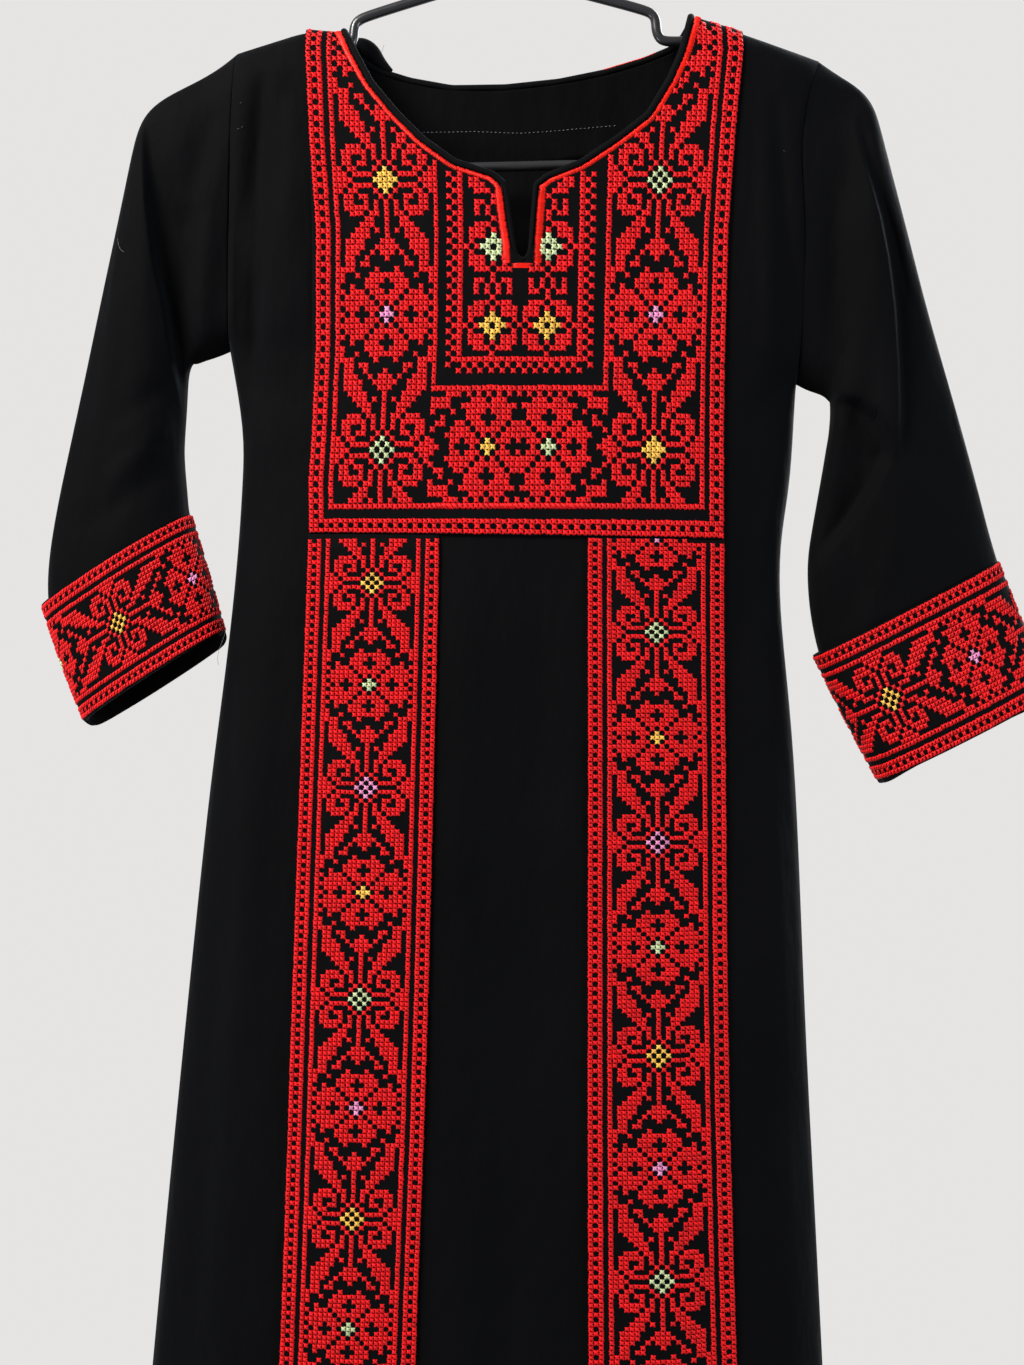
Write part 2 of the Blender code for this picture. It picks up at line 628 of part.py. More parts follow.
def main():
    for old in list(bpy.data.objects):
        bpy.data.objects.remove(old)

    front = body_grid("front", cloth_edge(FRONT_NECK), FRONT_CHEST)
    back = body_grid("back", cloth_edge(BACK_NECK), BACK_CHEST)
    sleeves = {hand: sleeve_grid(front, back, hand) for hand in ("left", "right")}
    skins = [
        (front, False, True),
        (back, False, False),
        (sleeves["left"], True, True),
        (sleeves["right"], True, False),
    ]
    normals = shared_normals(skins)

    cloth = material("cloth")
    stitched = material("stitched")
    tube_finish = material("tube")
    thick = CLOTH / MM
    names = ("front", "back", "sleeve_left", "sleeve_right")
    edges = (("top", "first", "last"), ("top", "first", "last"), ("top",), ("top",))
    for name, (grid, ring, _), normal, cut in zip(names, skins, normals, edges):
        outer = trimmed(grid, normal, cut)
        wall(name, outer, outer - normal * thick, ring, cloth)

    lift = SEAM_GAP / MM
    made_of = (stitched, lift, STITCHED / MM, PANEL_INSET)
    panel = slice(PANEL_FIRST, front.shape[1] - PANEL_FIRST)
    foot = len(YOKE_ROWS) + PANEL_FOOT
    layer("chest_panel", front[: foot + 1, panel], normals[0][: foot + 1, panel], False, *made_of)
    bands = (
        ("skirt_band_left", slice(PANEL_FIRST, BAND_INNER_LEFT + 1)),
        ("skirt_band_right", slice(BAND_INNER_RIGHT, front.shape[1] - PANEL_FIRST)),
    )
    for name, columns in bands:
        layer(name, front[foot:, columns], normals[0][foot:, columns], False, *made_of)
    for hand, normal in (("left", normals[2]), ("right", normals[3])):
        rings = sleeves[hand][-CUFF_RINGS:]
        layer(f"cuff_{hand}", rings, normal[-CUFF_RINGS:], True, *made_of)

    inside = -(thick + SEAM_GAP / MM + FACING)
    neck = slice(NECK_FIRST, back.shape[1] - NECK_FIRST)
    rows = slice(0, FACING_ROWS)
    made_of = (material("facing"), inside, FACING, FACING_INSET)
    layer("back_neck_facing", back[rows, neck], normals[1][rows, neck], False, *made_of)
    neck_binding(FRONT_NECK, BACK_NECK)
    hanger_frame(tube_finish)
    hanger_hook(tube_finish)


main()
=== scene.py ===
# %% [markdown]
# # A cross-stitched thobe dress on its hanger
#
# The dress is black crepe, cut as two long lengths with set-in sleeves. Its chest, two bands
# down the skirt and both cuffs are covered in cross stitch. The imported model gives every piece
# its place, so this lesson starts by loading it.

# %% Load the imported model
import math

import bmesh
import bpy
import numpy as np
from mathutils import Matrix, Vector, noise
from mathutils.bvhtree import BVHTree


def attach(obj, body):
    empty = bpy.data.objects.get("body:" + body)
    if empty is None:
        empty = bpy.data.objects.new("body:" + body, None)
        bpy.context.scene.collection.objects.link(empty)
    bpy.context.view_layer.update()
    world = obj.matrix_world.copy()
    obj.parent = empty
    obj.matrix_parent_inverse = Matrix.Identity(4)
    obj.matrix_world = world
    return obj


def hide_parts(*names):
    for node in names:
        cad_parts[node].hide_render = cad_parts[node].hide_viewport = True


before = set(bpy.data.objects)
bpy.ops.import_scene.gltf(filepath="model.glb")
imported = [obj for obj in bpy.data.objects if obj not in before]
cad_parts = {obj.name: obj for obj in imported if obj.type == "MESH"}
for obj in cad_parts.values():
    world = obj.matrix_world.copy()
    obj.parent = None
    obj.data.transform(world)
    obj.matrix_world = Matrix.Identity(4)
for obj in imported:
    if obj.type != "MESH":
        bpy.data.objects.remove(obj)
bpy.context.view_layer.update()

MM = 0.001


def linked(name, data):
    """An object in the scene, at the origin."""
    made = bpy.data.objects.new(name, data)
    bpy.context.scene.collection.objects.link(made)
    return made


def finished(helper):
    """The mesh of a helper object after its modifiers or bevel. The helper is removed."""
    graph = bpy.context.evaluated_depsgraph_get()
    mesh = bpy.data.meshes.new_from_object(helper.evaluated_get(graph))
    bpy.data.objects.remove(helper)
    return mesh


def unit(rows):
    """Each row of vectors at length 1."""
    return rows / np.linalg.norm(rows, axis=1)[:, None]


print("loaded", len(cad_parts), "nodes")

# %% [markdown]
# ## Materials as sums
#
# A finish on cloth is mostly arithmetic: a weave plus a slow change of colour. Wrapping a
# socket in a small class lets those sums be written as Python expressions, and each sum adds
# its own Math node. Colours go through Mix nodes, because a Math node would turn them grey.

# %% A socket that can be added and multiplied
class Value:
    """One output of a node, so that sums on it add Math nodes to the same material."""

    def __init__(self, finish, socket):
        self.finish = finish
        self.socket = socket

    def sum(self, operation, first, second):
        return self.finish.node("ShaderNodeMath", {"operation": operation}, {0: first, 1: second})

    def __add__(self, other):
        return self.sum("ADD", self, other)

    def __sub__(self, other):
        return self.sum("SUBTRACT", self, other)

    def __mul__(self, other):
        return self.sum("MULTIPLY", self, other)


class Finish:
    """A material with its Principled shader, and one method that adds any other node."""

    def __init__(self, name, constants):
        self.material = bpy.data.materials.new(name)
        self.material.use_nodes = True
        self.tree = self.material.node_tree
        self.shader = self.tree.nodes["Principled BSDF"]
        for socket, value in constants.items():
            self.shader.inputs[socket].default_value = value

    def node(self, kind, settings=None, sockets=None, output=0):
        """Adds a node: its settings first, then the values or links of its sockets."""
        made = self.tree.nodes.new(kind)
        for name, value in (settings or {}).items():
            setattr(made, name, value)
        for key, value in (sockets or {}).items():
            self.feed(made.inputs[key], value)
        return Value(self, made.outputs[output])

    def feed(self, socket, value):
        if isinstance(value, Value):
            self.tree.links.new(value.socket, socket)
        else:
            socket.default_value = value

    def mixed(self, share, one, two):
        return self.node("ShaderNodeMix", {"data_type": "RGBA"}, {0: share, 6: one, 7: two}, output=2)

    def place(self, stretch=(1, 1, 1)):
        """Object coordinates, so that the pattern keeps its real size."""
        at = self.node("ShaderNodeTexCoord", output=3)
        return self.node("ShaderNodeMapping", {}, {"Vector": at, "Scale": stretch})

    def cloudy(self, at, scale, detail):
        return self.node("ShaderNodeTexNoise", {}, {"Vector": at, "Scale": scale, "Detail": detail})

    def bumped(self, height, strength, distance):
        """Bends the shading normal by a height."""
        made = {"Height": height, "Strength": strength, "Distance": distance}
        self.feed(self.shader.inputs["Normal"], self.node("ShaderNodeBump", {}, made))


BLUE_TINGE = 1.15


def black(level):
    return (level, level, level * BLUE_TINGE, 1)


print("shader helpers ready")

# %% [markdown]
# ## Crepe
#
# The cloth is a matt black crepe. Its twisted yarns make a fine pebble that catches a soft,
# slightly blue sheen where the skirt turns to the light. Three noises do it: one at half a
# millimetre for the yarns, a slow one that makes some areas a little more worn, and one
# between them for the rumples. Each is given by its scale, per metre, and its detail.

# %% Crepe, binding and facing cloth
YARNS = (1500.0, 3.0)
WEAR = (9.0, 3.0)
RUMPLES = (34.0, 3.0)


def crepe(name, level, sheen, pebble):
    made = Finish(name, {
        "Sheen Weight": sheen, "Sheen Roughness": 0.35, "Sheen Tint": (0.8, 0.9, 1, 1),
        "Specular IOR Level": 0.012,
    })
    at = made.place()
    yarns = made.cloudy(at, *YARNS)
    shade = made.mixed(made.cloudy(at, *WEAR) * 0.7 + yarns * 0.3, black(level * 0.55), black(level * 1.5))
    made.feed(made.shader.inputs["Base Color"], shade)
    made.feed(made.shader.inputs["Roughness"], yarns * 0.16 + 0.66)
    rumple = made.cloudy(made.place((1, 1, 0.45)), *RUMPLES)
    made.bumped(yarns * 0.25 + rumple * 6.0, pebble, 0.0012)
    return made.material


CREPE = crepe("black_crepe", 0.0011, 0.022, 0.5)
BOUND = crepe("bound_edge", 0.0016, 0.02, 0.5)
GROUND = crepe("stitched_ground", 0.0012, 0.01, 0.35)
print("crepe made")

# %% [markdown]
# ## Thread
#
# Cotton thread has a soft lustre along each strand. The colour of every stitch is kept on its
# own points as an attribute, so one material serves all the threads: a fine stretched noise
# breaks each stitch into strands, and paints shade into the gaps between them as a darker
# copy of the thread colour.

# %% Thread finishes
STRANDS = (2400.0, 2.0)


def thread_finish(name, gloss):
    made = Finish(name, {"Specular IOR Level": 0.12})
    dyed = made.node("ShaderNodeAttribute", {"attribute_name": "dyed"})
    strands = made.cloudy(made.place(), *STRANDS)
    # Painted shade: a darker copy of each thread colour, laid into the gaps between strands.
    strand_gap_shade = made.node("ShaderNodeMix", {"data_type": "RGBA", "blend_type": "MULTIPLY"},
                     {0: 1.0, 6: dyed, 7: (0.5, 0.42, 0.42, 1)}, output=2)
    made.feed(made.shader.inputs["Base Color"], made.mixed(strands * 1.5 - 0.2, strand_gap_shade, dyed))
    made.feed(made.shader.inputs["Roughness"], strands * 0.2 + gloss)
    made.bumped(strands, 0.4, 0.0003)
    return made.material


COTTON = thread_finish("cotton_thread", 0.42)
SATIN = thread_finish("satin_thread", 0.3)

DYES = {
    "R": (0.42, 0.0019, 0.0033),
    "satin": (0.52, 0.007, 0.0018),
    "yellow": (0.5, 0.29, 0.045),
    "green": (0.3, 0.36, 0.19),
    "pink": (0.46, 0.16, 0.3),
    "grey": (0.075, 0.075, 0.078),
    "black": (0.01, 0.01, 0.011),
}
print("threads dyed:", ", ".join(DYES))

# %% [markdown]
# ## Hanger plastic
#
# The hanger is a smooth dark grey tube with a satin gloss. A very faint noise in its roughness
# keeps the highlight from looking like glass.

# %% Hanger finish
SCUFFS = (120.0, 4.0)


def tube_finish():
    made = Finish("hanger_tube", {
        "Base Color": (0.006, 0.006, 0.007, 1), "Specular IOR Level": 0.22,
        "Coat Weight": 0.06, "Coat Roughness": 0.15,
    })
    scuffs = made.cloudy(made.place(), *SCUFFS)
    made.feed(made.shader.inputs["Roughness"], scuffs * 0.15 + 0.24)
    made.bumped(scuffs, 0.05, 0.0002)
    return made.material


TUBE = tube_finish()
print("hanger finish made")

# %% [markdown]
# ## Creases, listed one by one
#
# A hanging dress is never flat: the sleeves fold at the armholes, the sides drop from the
# underarms, and the skirt falls in long soft waves. A crease is a row of its two ends in the
# front view, x and z, its width and its height: a ridge over 0 and a trough under it. A fold
# follows a line of points and has one sharp side. Its row ends with its height, the width of
# its slow side, and those of the hollow and of the sharp step on the other. Every layer on
# the cloth is moved by the same rows, so nothing comes apart.

# %% Crease tables, in millimetres
FRONT_CREASES = (
    (-150, -165, -156, -235, 4.5, -3.0),
    (-143, -160, -150, -300, 4.0, 2.2),
    (-156, -290, -150, -372, 4.0, -3.0),
    (-164, -345, -128, -362, 6.0, -2.2),
    (-160, -372, -138, -420, 5.0, 1.8),
    (168, -180, 176, -290, 5.0, -3.0),
    (160, -200, 164, -330, 5.0, 2.0),
    (178, -345, 150, -372, 6.0, -2.2),
    (174, -400, 160, -455, 6.0, 1.6),
    (150, -455, 140, -560, 8.0, -1.6),
    (-158, -430, -166, -560, 7.0, -2.0),
    (-150, -560, -166, -760, 9.0, 2.2),
    (-176, -700, -196, -1000, 8.0, -2.4),
    (-24, -470, -30, -760, 12.0, 1.4),
    (24, -480, 18, -800, 12.0, -1.6),
    (-20, -900, -26, -1400, 14.0, 2.2),
    (30, -880, 34, -1400, 12.0, -2.2),
    (152, -600, 160, -900, 8.0, -2.0),
    (172, -800, 186, -1250, 9.0, 2.4),
    (-200, -1000, -220, -1400, 10.0, 2.6),
    (-120, -1050, -112, -1400, 16.0, -2.0),
    (110, -1020, 118, -1400, 16.0, -2.2),
)
BACK_CREASES = (
    (-140, -175, -150, -320, 5.0, -2.6),
    (150, -180, 160, -330, 5.0, -2.6),
    (-150, -350, -90, -372, 8.0, -2.0),
    (165, -350, 110, -378, 8.0, -2.0),
    (-60, -200, 40, -215, 9.0, 1.6),
    (-110, -450, -126, -800, 12.0, 2.2),
    (-30, -430, -20, -900, 14.0, -2.0),
    (60, -460, 74, -860, 12.0, 2.0),
    (130, -560, 150, -1100, 12.0, -2.2),
    (-90, -860, -104, -1400, 14.0, -2.4),
    (0, -960, 6, -1400, 14.0, 2.4),
    (96, -940, 110, -1400, 14.0, 2.2),
)
SLEEVE_CREASES = {
    "left": (
        (-183, -190, -198, -250, 9.0, -2.6),
        (-198, -250, -206, -340, 7.0, -3.4),
        (-184, -255, -187, -325, 8.0, 2.6),
        (-196, -345, -236, -372, 7.0, -2.2),
        (-202, -372, -244, -412, 7.0, 2.0),
        (-210, -404, -256, -440, 8.0, -1.8),
        (-240, -300, -262, -420, 7.0, 1.8),
        (-252, -470, -222, -500, 9.0, 1.4),
    ),
    "right": (
        (204, -230, 204, -345, 9.0, -3.4),
        (217, -250, 222, -345, 11.0, 2.0),
        (250, -430, 226, -500, 8.0, 2.2),
        (276, -360, 300, -470, 9.0, 1.8),
        (262, -500, 300, -520, 9.0, -1.4),
    ),
}
FRONT_FOLDS = (
    (((-159, -400), (-155, -363), (-149, -320), (-146, -288), (-143, -257), (-137, -220), (-135, -180)),
     4.4, 24.0, 11.0, 4.0),
    (((-160, -700), (-164, -560), (-158, -470)), 1.6, 20.0, 12.0, 6.0),
    (((160, -520), (168, -640), (176, -800)), 1.6, 20.0, 12.0, 6.0),
)
BACK_FOLDS = (
    (((-152, -200), (-146, -260), (-150, -330), (-160, -390)), 2.2, 20.0, 9.0, 4.5),
    (((166, -390), (158, -330), (150, -260), (154, -200)), 2.2, 20.0, 9.0, 4.5),
)
SLEEVE_FOLDS = {
    "left": (
        (((-227, -190), (-223, -241), (-218, -279), (-213, -303), (-210, -327), (-207, -347), (-200, -385)),
         7.0, 26.0, 15.0, 3.0),
        (((-208, -352), (-198, -342), (-184, -338), (-174, -334)), 1.6, 8.0, 5.0, 2.4),
    ),
    "right": (
        (((216, -185), (223, -222), (231, -250), (236, -275), (240, -306), (242, -342),
          (242, -375), (241, -396)),
         5.5, 28.0, 14.0, 3.0),
        (((256, -300), (248, -262), (237, -230), (227, -196)), 2.0, 10.0, 7.0, 2.4),
        (((242, -400), (238, -384), (232, -371), (221, -362), (203, -356)), 5.6, 20.0, 13.0, 2.8),
        (((183, -488), (188, -473), (201, -458), (217, -439), (230, -419), (243, -392)),
         5.5, 28.0, 17.0, 3.0),
        (((238, -604), (220, -560), (197, -518)), 1.8, 10.0, 6.0, 2.4),
    ),
}
TIP_HEIGHT = 0.3
TIP_SHARE = 0.12
SLOW_SWELL = 1.1
SWELLS = ((1.0, 0.021, 9.0, 0.009), (0.4, 0.05, 5.0, 0.03))
CALM_DEPTH = 15.0
SEAM_DEPTH = 0.2


def beside(start, end, x, z):
    """For many points: how far along a line they lie, as a share, how far away, and how far left."""
    along = end - start
    aside, below = x - start[0], z - start[1]
    share = np.clip((aside * along[0] + below * along[1]) / along.dot(along), 0, 1)
    away = np.hypot(aside - share * along[0], below - share * along[1])
    return share, away, along[0] * below - along[1] * aside


def crease_height(creases, x, z):
    """How far the cloth stands out at many points, from all the creases together."""
    total = np.zeros(len(x))
    for x1, z1, x2, z2, width, height in creases:
        share, away, _ = beside(np.array([x1, z1], float), np.array([x2, z2], float), x, z)
        ends = TIP_HEIGHT + (1 - TIP_HEIGHT) * np.sin(math.pi * (TIP_SHARE + (1 - 2 * TIP_SHARE) * share))
        total += height * ends * np.exp(-((away / width) ** 2))
    return total


def fold_height(folds, x, z):
    """Folds fall steeply to the left of the way in which each line is walked."""
    total = np.zeros(len(x))
    for line, height, slow, hollow, sharp in folds:
        line = np.array(line, float)
        nearest = np.full(len(x), np.inf)
        left = np.zeros(len(x), bool)
        walked = np.zeros(len(x))
        for step_number, (start, end) in enumerate(zip(line, line[1:])):
            share, away, leftward = beside(start, end, x, z)
            closer = away < nearest
            nearest = np.where(closer, away, nearest)
            left = np.where(closer, leftward > 0, left)
            walked = np.where(closer, (step_number + share) / (len(line) - 1), walked)
        high = np.exp(-((nearest / slow) ** 2))
        low = (2 * np.exp(-((nearest / sharp) ** 2)) - 1) * np.exp(-((nearest / hollow) ** 2))
        total += height * np.sqrt(np.sin(math.pi * walked)) * np.where(left, low, high)
    return total


def swell(points, side):
    """A slow unevenness that no two places share."""
    return np.array([
        sum(high * noise.noise(Vector((x * fine, side * apart, z * long)))
            for high, fine, apart, long in SWELLS)
        for x, z in points
    ]) * SLOW_SWELL


def rested(points, creases_before, creases_behind, middle=0.0):
    """The points, in millimetres, moved out of the garment's middle plane by the creases."""
    moved = points.copy()
    x, y, z = points.T
    depth = y - middle
    for side, (creases, folds) in ((-1, creases_before), (1, creases_behind)):
        here = depth * side > 0
        if not here.any():
            continue
        calm = np.clip(np.abs(depth[here]) / CALM_DEPTH, 0, 1) ** 2
        out = crease_height(creases, x[here], z[here]) + fold_height(folds, x[here], z[here])
        out += swell(points[here][:, [0, 2]], side)
        moved[here, 1] += side * calm * out
    moved[np.abs(depth) < SEAM_DEPTH, 1] = middle
    return moved


print(len(FRONT_CREASES) + len(BACK_CREASES), "creases on the body")

# %% [markdown]
# ## The cloth pieces
#
# Each CAD node is a closed wall of large flat facets. A copy is merged, its triangles are
# joined into quads, the rim is marked as a crease, and Subdivision Surface rounds the facets
# into cloth. The listed creases are then pressed in, on both skins alike, so the wall
# keeps its thickness.

# %% Dressing a node
MERGE = 1e-5
RIM_ANGLE = math.radians(50)


def merged(node):
    """A node's mesh with its loose triangles joined, as a bmesh."""
    mesh = bmesh.new()
    mesh.from_mesh(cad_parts[node].data)
    bmesh.ops.remove_doubles(mesh, verts=mesh.verts[:], dist=MERGE)
    bmesh.ops.join_triangles(
        mesh, faces=mesh.faces[:], angle_face_threshold=RIM_ANGLE, angle_shape_threshold=math.pi
    )
    marked = mesh.edges.layers.float.new("crease_edge")
    for edge in mesh.edges:
        if len(edge.link_faces) == 2 and edge.calc_face_angle() > RIM_ANGLE:
            edge[marked] = 1.0
    return mesh


def piece(name, mesh, finish):
    """A finished mesh as an object of the dress."""
    made = linked(name, mesh)
    mesh.materials.clear()
    mesh.materials.append(finish)
    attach(made, "root")
    return made


def rounded_copy(node, name, finish, levels):
    """The node, subdivided into smooth cloth, with the modifier applied."""
    source = merged(node)
    rough = bpy.data.meshes.new(name)
    source.to_mesh(rough)
    source.free()
    helper = linked(name + "_rough", rough)
    smoother = helper.modifiers.new("smooth", "SUBSURF")
    smoother.levels = levels
    smoother.render_levels = levels
    mesh = finished(helper)
    mesh.name = name
    made = piece(name, mesh, finish)
    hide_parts(node)
    return made


def points_of(mesh):
    flat = np.empty(len(mesh.vertices) * 3)
    mesh.vertices.foreach_get("co", flat)
    return flat.reshape(-1, 3) / MM


def press(made, creases_before, creases_behind, middle=0.0):
    """Presses the creases into a piece and shades it smooth, but for its rim."""
    mesh = made.data
    moved = rested(points_of(mesh), creases_before, creases_behind, middle)
    mesh.vertices.foreach_set("co", (moved * MM).ravel())
    mesh.shade_smooth()
    mesh.set_sharp_from_angle(angle=RIM_ANGLE)
    mesh.update()


def dressed(node, name, finish, creases, levels=2, middle=0.0):
    made = rounded_copy(node, name, finish, levels)
    press(made, *creases, middle)
    print(name, len(made.data.polygons), "faces")
    return made


def behind(hand):
    """The back of a sleeve has like creases and folds, a little lower and softer."""
    creases = [
        (x1 + 9, z1 - 14, x2 + 6, z2 - 22, width * 1.3, height * 0.8)
        for x1, z1, x2, z2, width, height in SLEEVE_CREASES[hand]
    ]
    folds = [
        ([(x + 5, z - 16) for x, z in line], height * 0.7, slow, hollow, sharp * 1.4)
        for line, height, slow, hollow, sharp in SLEEVE_FOLDS[hand]
    ]
    return creases, folds


BODY = ((FRONT_CREASES, FRONT_FOLDS), (BACK_CREASES, BACK_FOLDS))
CREASES_OF = {hand: ((SLEEVE_CREASES[hand], SLEEVE_FOLDS[hand]), behind(hand)) for hand in SLEEVE_CREASES}
FLAT = (((), ()), ((), ()))
SLEEVE_MIDDLE = 4.0

# %% Front, back and sleeves
front = dressed("front", "front_cloth", CREPE, BODY)
back = dressed("back", "back_cloth", CREPE, BODY)
sleeve_left = dressed("sleeve_left", "sleeve_left_cloth", CREPE, CREASES_OF["left"], 3, SLEEVE_MIDDLE)
sleeve_right = dressed("sleeve_right", "sleeve_right_cloth", CREPE, CREASES_OF["right"], 3, SLEEVE_MIDDLE)

# %% Stitched grounds, facing and binding
chest = dressed("chest_panel", "chest_panel_cloth", GROUND, BODY)
band_left = dressed("skirt_band_left", "skirt_band_left_cloth", GROUND, BODY)
band_right = dressed("skirt_band_right", "skirt_band_right_cloth", GROUND, BODY)
cuff_left = dressed("cuff_left", "cuff_left_cloth", GROUND, CREASES_OF["left"], 3, SLEEVE_MIDDLE)
cuff_right = dressed("cuff_right", "cuff_right_cloth", GROUND, CREASES_OF["right"], 3, SLEEVE_MIDDLE)
facing = dressed("back_neck_facing", "back_neck_facing_cloth", CREPE, BODY)

# %% Hanger
hanger_frame = dressed("hanger_frame", "hanger_frame_tube", TUBE, FLAT, levels=1)
hanger_hook = dressed("hanger_hook", "hanger_hook_tube", TUBE, FLAT, levels=1)

# %% [markdown]
# ## Rolled neck edge
#
# The neck is finished with a strip of the same cloth, rolled over the edge into a soft cord
# about 5 mm wide that runs round the scoop, down one side of the slit and up the other. It is
# a curve with a round bevel, a little thinner down the slit. Its line is the neck's finished
# edge, moved by half the roll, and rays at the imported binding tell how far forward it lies.

# %% Neck line, in millimetres
NECK = (
    (-98.7, -129.5), (-97.0, -133.4), (-94.9, -138.4), (-91.0, -147.5), (-80.8, -167.0), (-66.0, -185.0),
    (-49.5, -201.8), (-30.5, -215.7), (-6.5, -223.6), (1.4, -230.5), (3.9, -250.0), (6.6, -268.0),
)
NECK_RIGHT = (
    (14.6, -267.0), (15.8, -250.0), (17.4, -231.0), (25.0, -224.8), (45.5, -216.6), (68.0, -201.5),
    (86.5, -187.0), (99.5, -165.5), (107.0, -148.0), (110.6, -135.0), (112.9, -126.0), (113.9, -121.5),
)
SLIT_FOOT = ((7.4, -273.0), (8.8, -276.2), (10.6, -277.2), (12.6, -276.2), (14.0, -273.0))
BACK_NECK = (
    (110.8, -126.3), (105.0, -131.0), (88.0, -137.5), (62.0, -145.0), (34.0, -150.5), (0.0, -154.0),
    (-34.0, -154.5), (-60.0, -150.0), (-79.0, -144.5), (-93.6, -136.5), (-97.0, -132.3),
)
ROLL_RADIUS = 2.3
SLIT_THINNER = 0.5
SLIT_START = -222.0
SLIT_EASE = 12.0
ROLL_CLEAR = 0.05
BACK_ROLL_OFFSET = 3.1
ROLL_STEP = 1.6
BUNCH = (
    (-98.0, -133.0, 1.2), (-94.0, -131.5, 2.2), (-89.0, -133.0, 2.8),
    (-84.0, -137.5, 2.6), (-80.0, -142.5, 1.8), (-73.0, -147.5, 0.9),
)
PACKED_HALF_THICK = 1.8
RAY_START = 0.3
RAY_LENGTH = 0.6


def surface(mesh):
    """A tree of a mesh's faces, for rays."""
    return BVHTree.FromPolygons([v.co[:] for v in mesh.vertices], [p.vertices[:] for p in mesh.polygons])


def distances(line):
    """How far along the line each of its points is."""
    return np.concatenate([[0], np.cumsum(np.linalg.norm(np.diff(line, axis=0), axis=1))])


def at_distances(line, wanted):
    along = distances(line)
    return np.column_stack([np.interp(wanted, along, line[:, k]) for k in range(line.shape[1])])


def even_steps(line, step):
    """The line cut into equal steps."""
    line = np.array(line, float)
    whole = distances(line)[-1]
    return at_distances(line, np.linspace(0, whole, int(whole / step) + 1))


def softened(values, span):
    """A running average along a line, with its ends kept."""
    padded = np.pad(values, ((span, span), (0, 0)), mode="edge")
    kernel = np.ones(2 * span + 1) / (2 * span + 1)
    return np.column_stack([np.convolve(padded[:, k], kernel, "valid") for k in range(values.shape[1])])


def outward(route):
    """Unit directions across the neck line, away from the opening."""
    ahead = unit(np.gradient(route, axis=0))
    return np.column_stack([ahead[:, 1], -ahead[:, 0]])


def roll_radius(z):
    return ROLL_RADIUS - SLIT_THINNER * np.clip((SLIT_START - z) / SLIT_EASE, 0, 1)


def roll_line():
    """The middle of the roll, in metres: the front's part, then the back's."""
    packed = surface(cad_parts["neck_binding"].data)
    front_part = (NECK + SLIT_FOOT + NECK_RIGHT, -1, None)
    back_part = (NECK_RIGHT[-1:] + BACK_NECK + NECK[:1], 1, BACK_ROLL_OFFSET)
    found = []
    for line, side, offset in (front_part, back_part):
        route = softened(even_steps(line, ROLL_STEP), 1)
        reach = roll_radius(route[:, 1:]) + ROLL_CLEAR if offset is None else offset
        middle = route - side * outward(route) * reach
        depths = []
        for x, z in middle:
            start = Vector((x * MM, side * RAY_START, z * MM))
            hit = packed.ray_cast(start, Vector((0, -side, 0)), RAY_LENGTH)[0]
            depths.append(np.nan if hit is None else hit.y / MM - side * PACKED_HALF_THICK)
        depths = np.array(depths)
        known = np.flatnonzero(~np.isnan(depths))
        depths = np.interp(range(len(depths)), known, depths[known])
        places = np.column_stack([middle[:, 0], softened(depths[:, None], 3), middle[:, 1]])
        found.append(places[1:-1] if side == 1 else places)
    return np.concatenate(found) * MM


def round_curve(name, radius, rings):
    """A curve, still empty, that gives its lines a round cross-section."""
    curve = bpy.data.curves.new(name, "CURVE")
    curve.dimensions = "3D"
    curve.bevel_depth = radius
    curve.bevel_resolution = rings
    return curve


def soft_line(curve, rows):
    """Adds one smooth line from rows of (x, y, z, thickness), in metres but for the last."""
    line = curve.splines.new("NURBS")
    line.points.add(len(rows) - 1)
    line.use_endpoint_u = True
    for point, (x, y, z, thick) in zip(line.points, rows):
        point.co = (x, y, z, 1)
        point.radius = thick


def rolled_edge():
    """The roll, and the bunch of cloth that shows behind it at the left shoulder."""
    route = roll_line()
    curve = round_curve("neck_binding_roll", ROLL_RADIUS * MM, 3)
    line = curve.splines.new("POLY")
    line.points.add(len(route) - 1)
    line.points.foreach_set("co", np.column_stack([route, np.ones(len(route))]).ravel())
    line.points.foreach_set("radius", roll_radius(route[:, 2] / MM) / ROLL_RADIUS)
    line.use_cyclic_u = True
    behind_neck = route[route[:, 1] > 0]
    near = [behind_neck[np.argmin(np.abs(behind_neck[:, 0] - x * MM)), 1] for x, z, thick in BUNCH]
    soft_line(curve, [(x * MM, y, z * MM, thick) for y, (x, z, thick) in zip(near, BUNCH)])
    mesh = finished(linked("roll_guide", curve))
    mesh.shade_smooth()
    made = piece("neck_binding_roll", mesh, BOUND)
    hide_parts("neck_binding")
    print("rolled edge", len(mesh.polygons), "faces")
    return made


binding = rolled_edge()

# %% [markdown]
# ## The stitch charts
#
# Cross stitch is worked from a chart, one square for each stitch. The band's field repeats: a
# diamond, then a rosette, each mirrored both ways, so a quarter of one repeat is enough. Rows
# run from the diamond's middle, row 0, to the rosette's, row 24. Columns run from the field's
# edge to its middle. R is red thread, C is the motif's own colour and a dot is bare cloth.

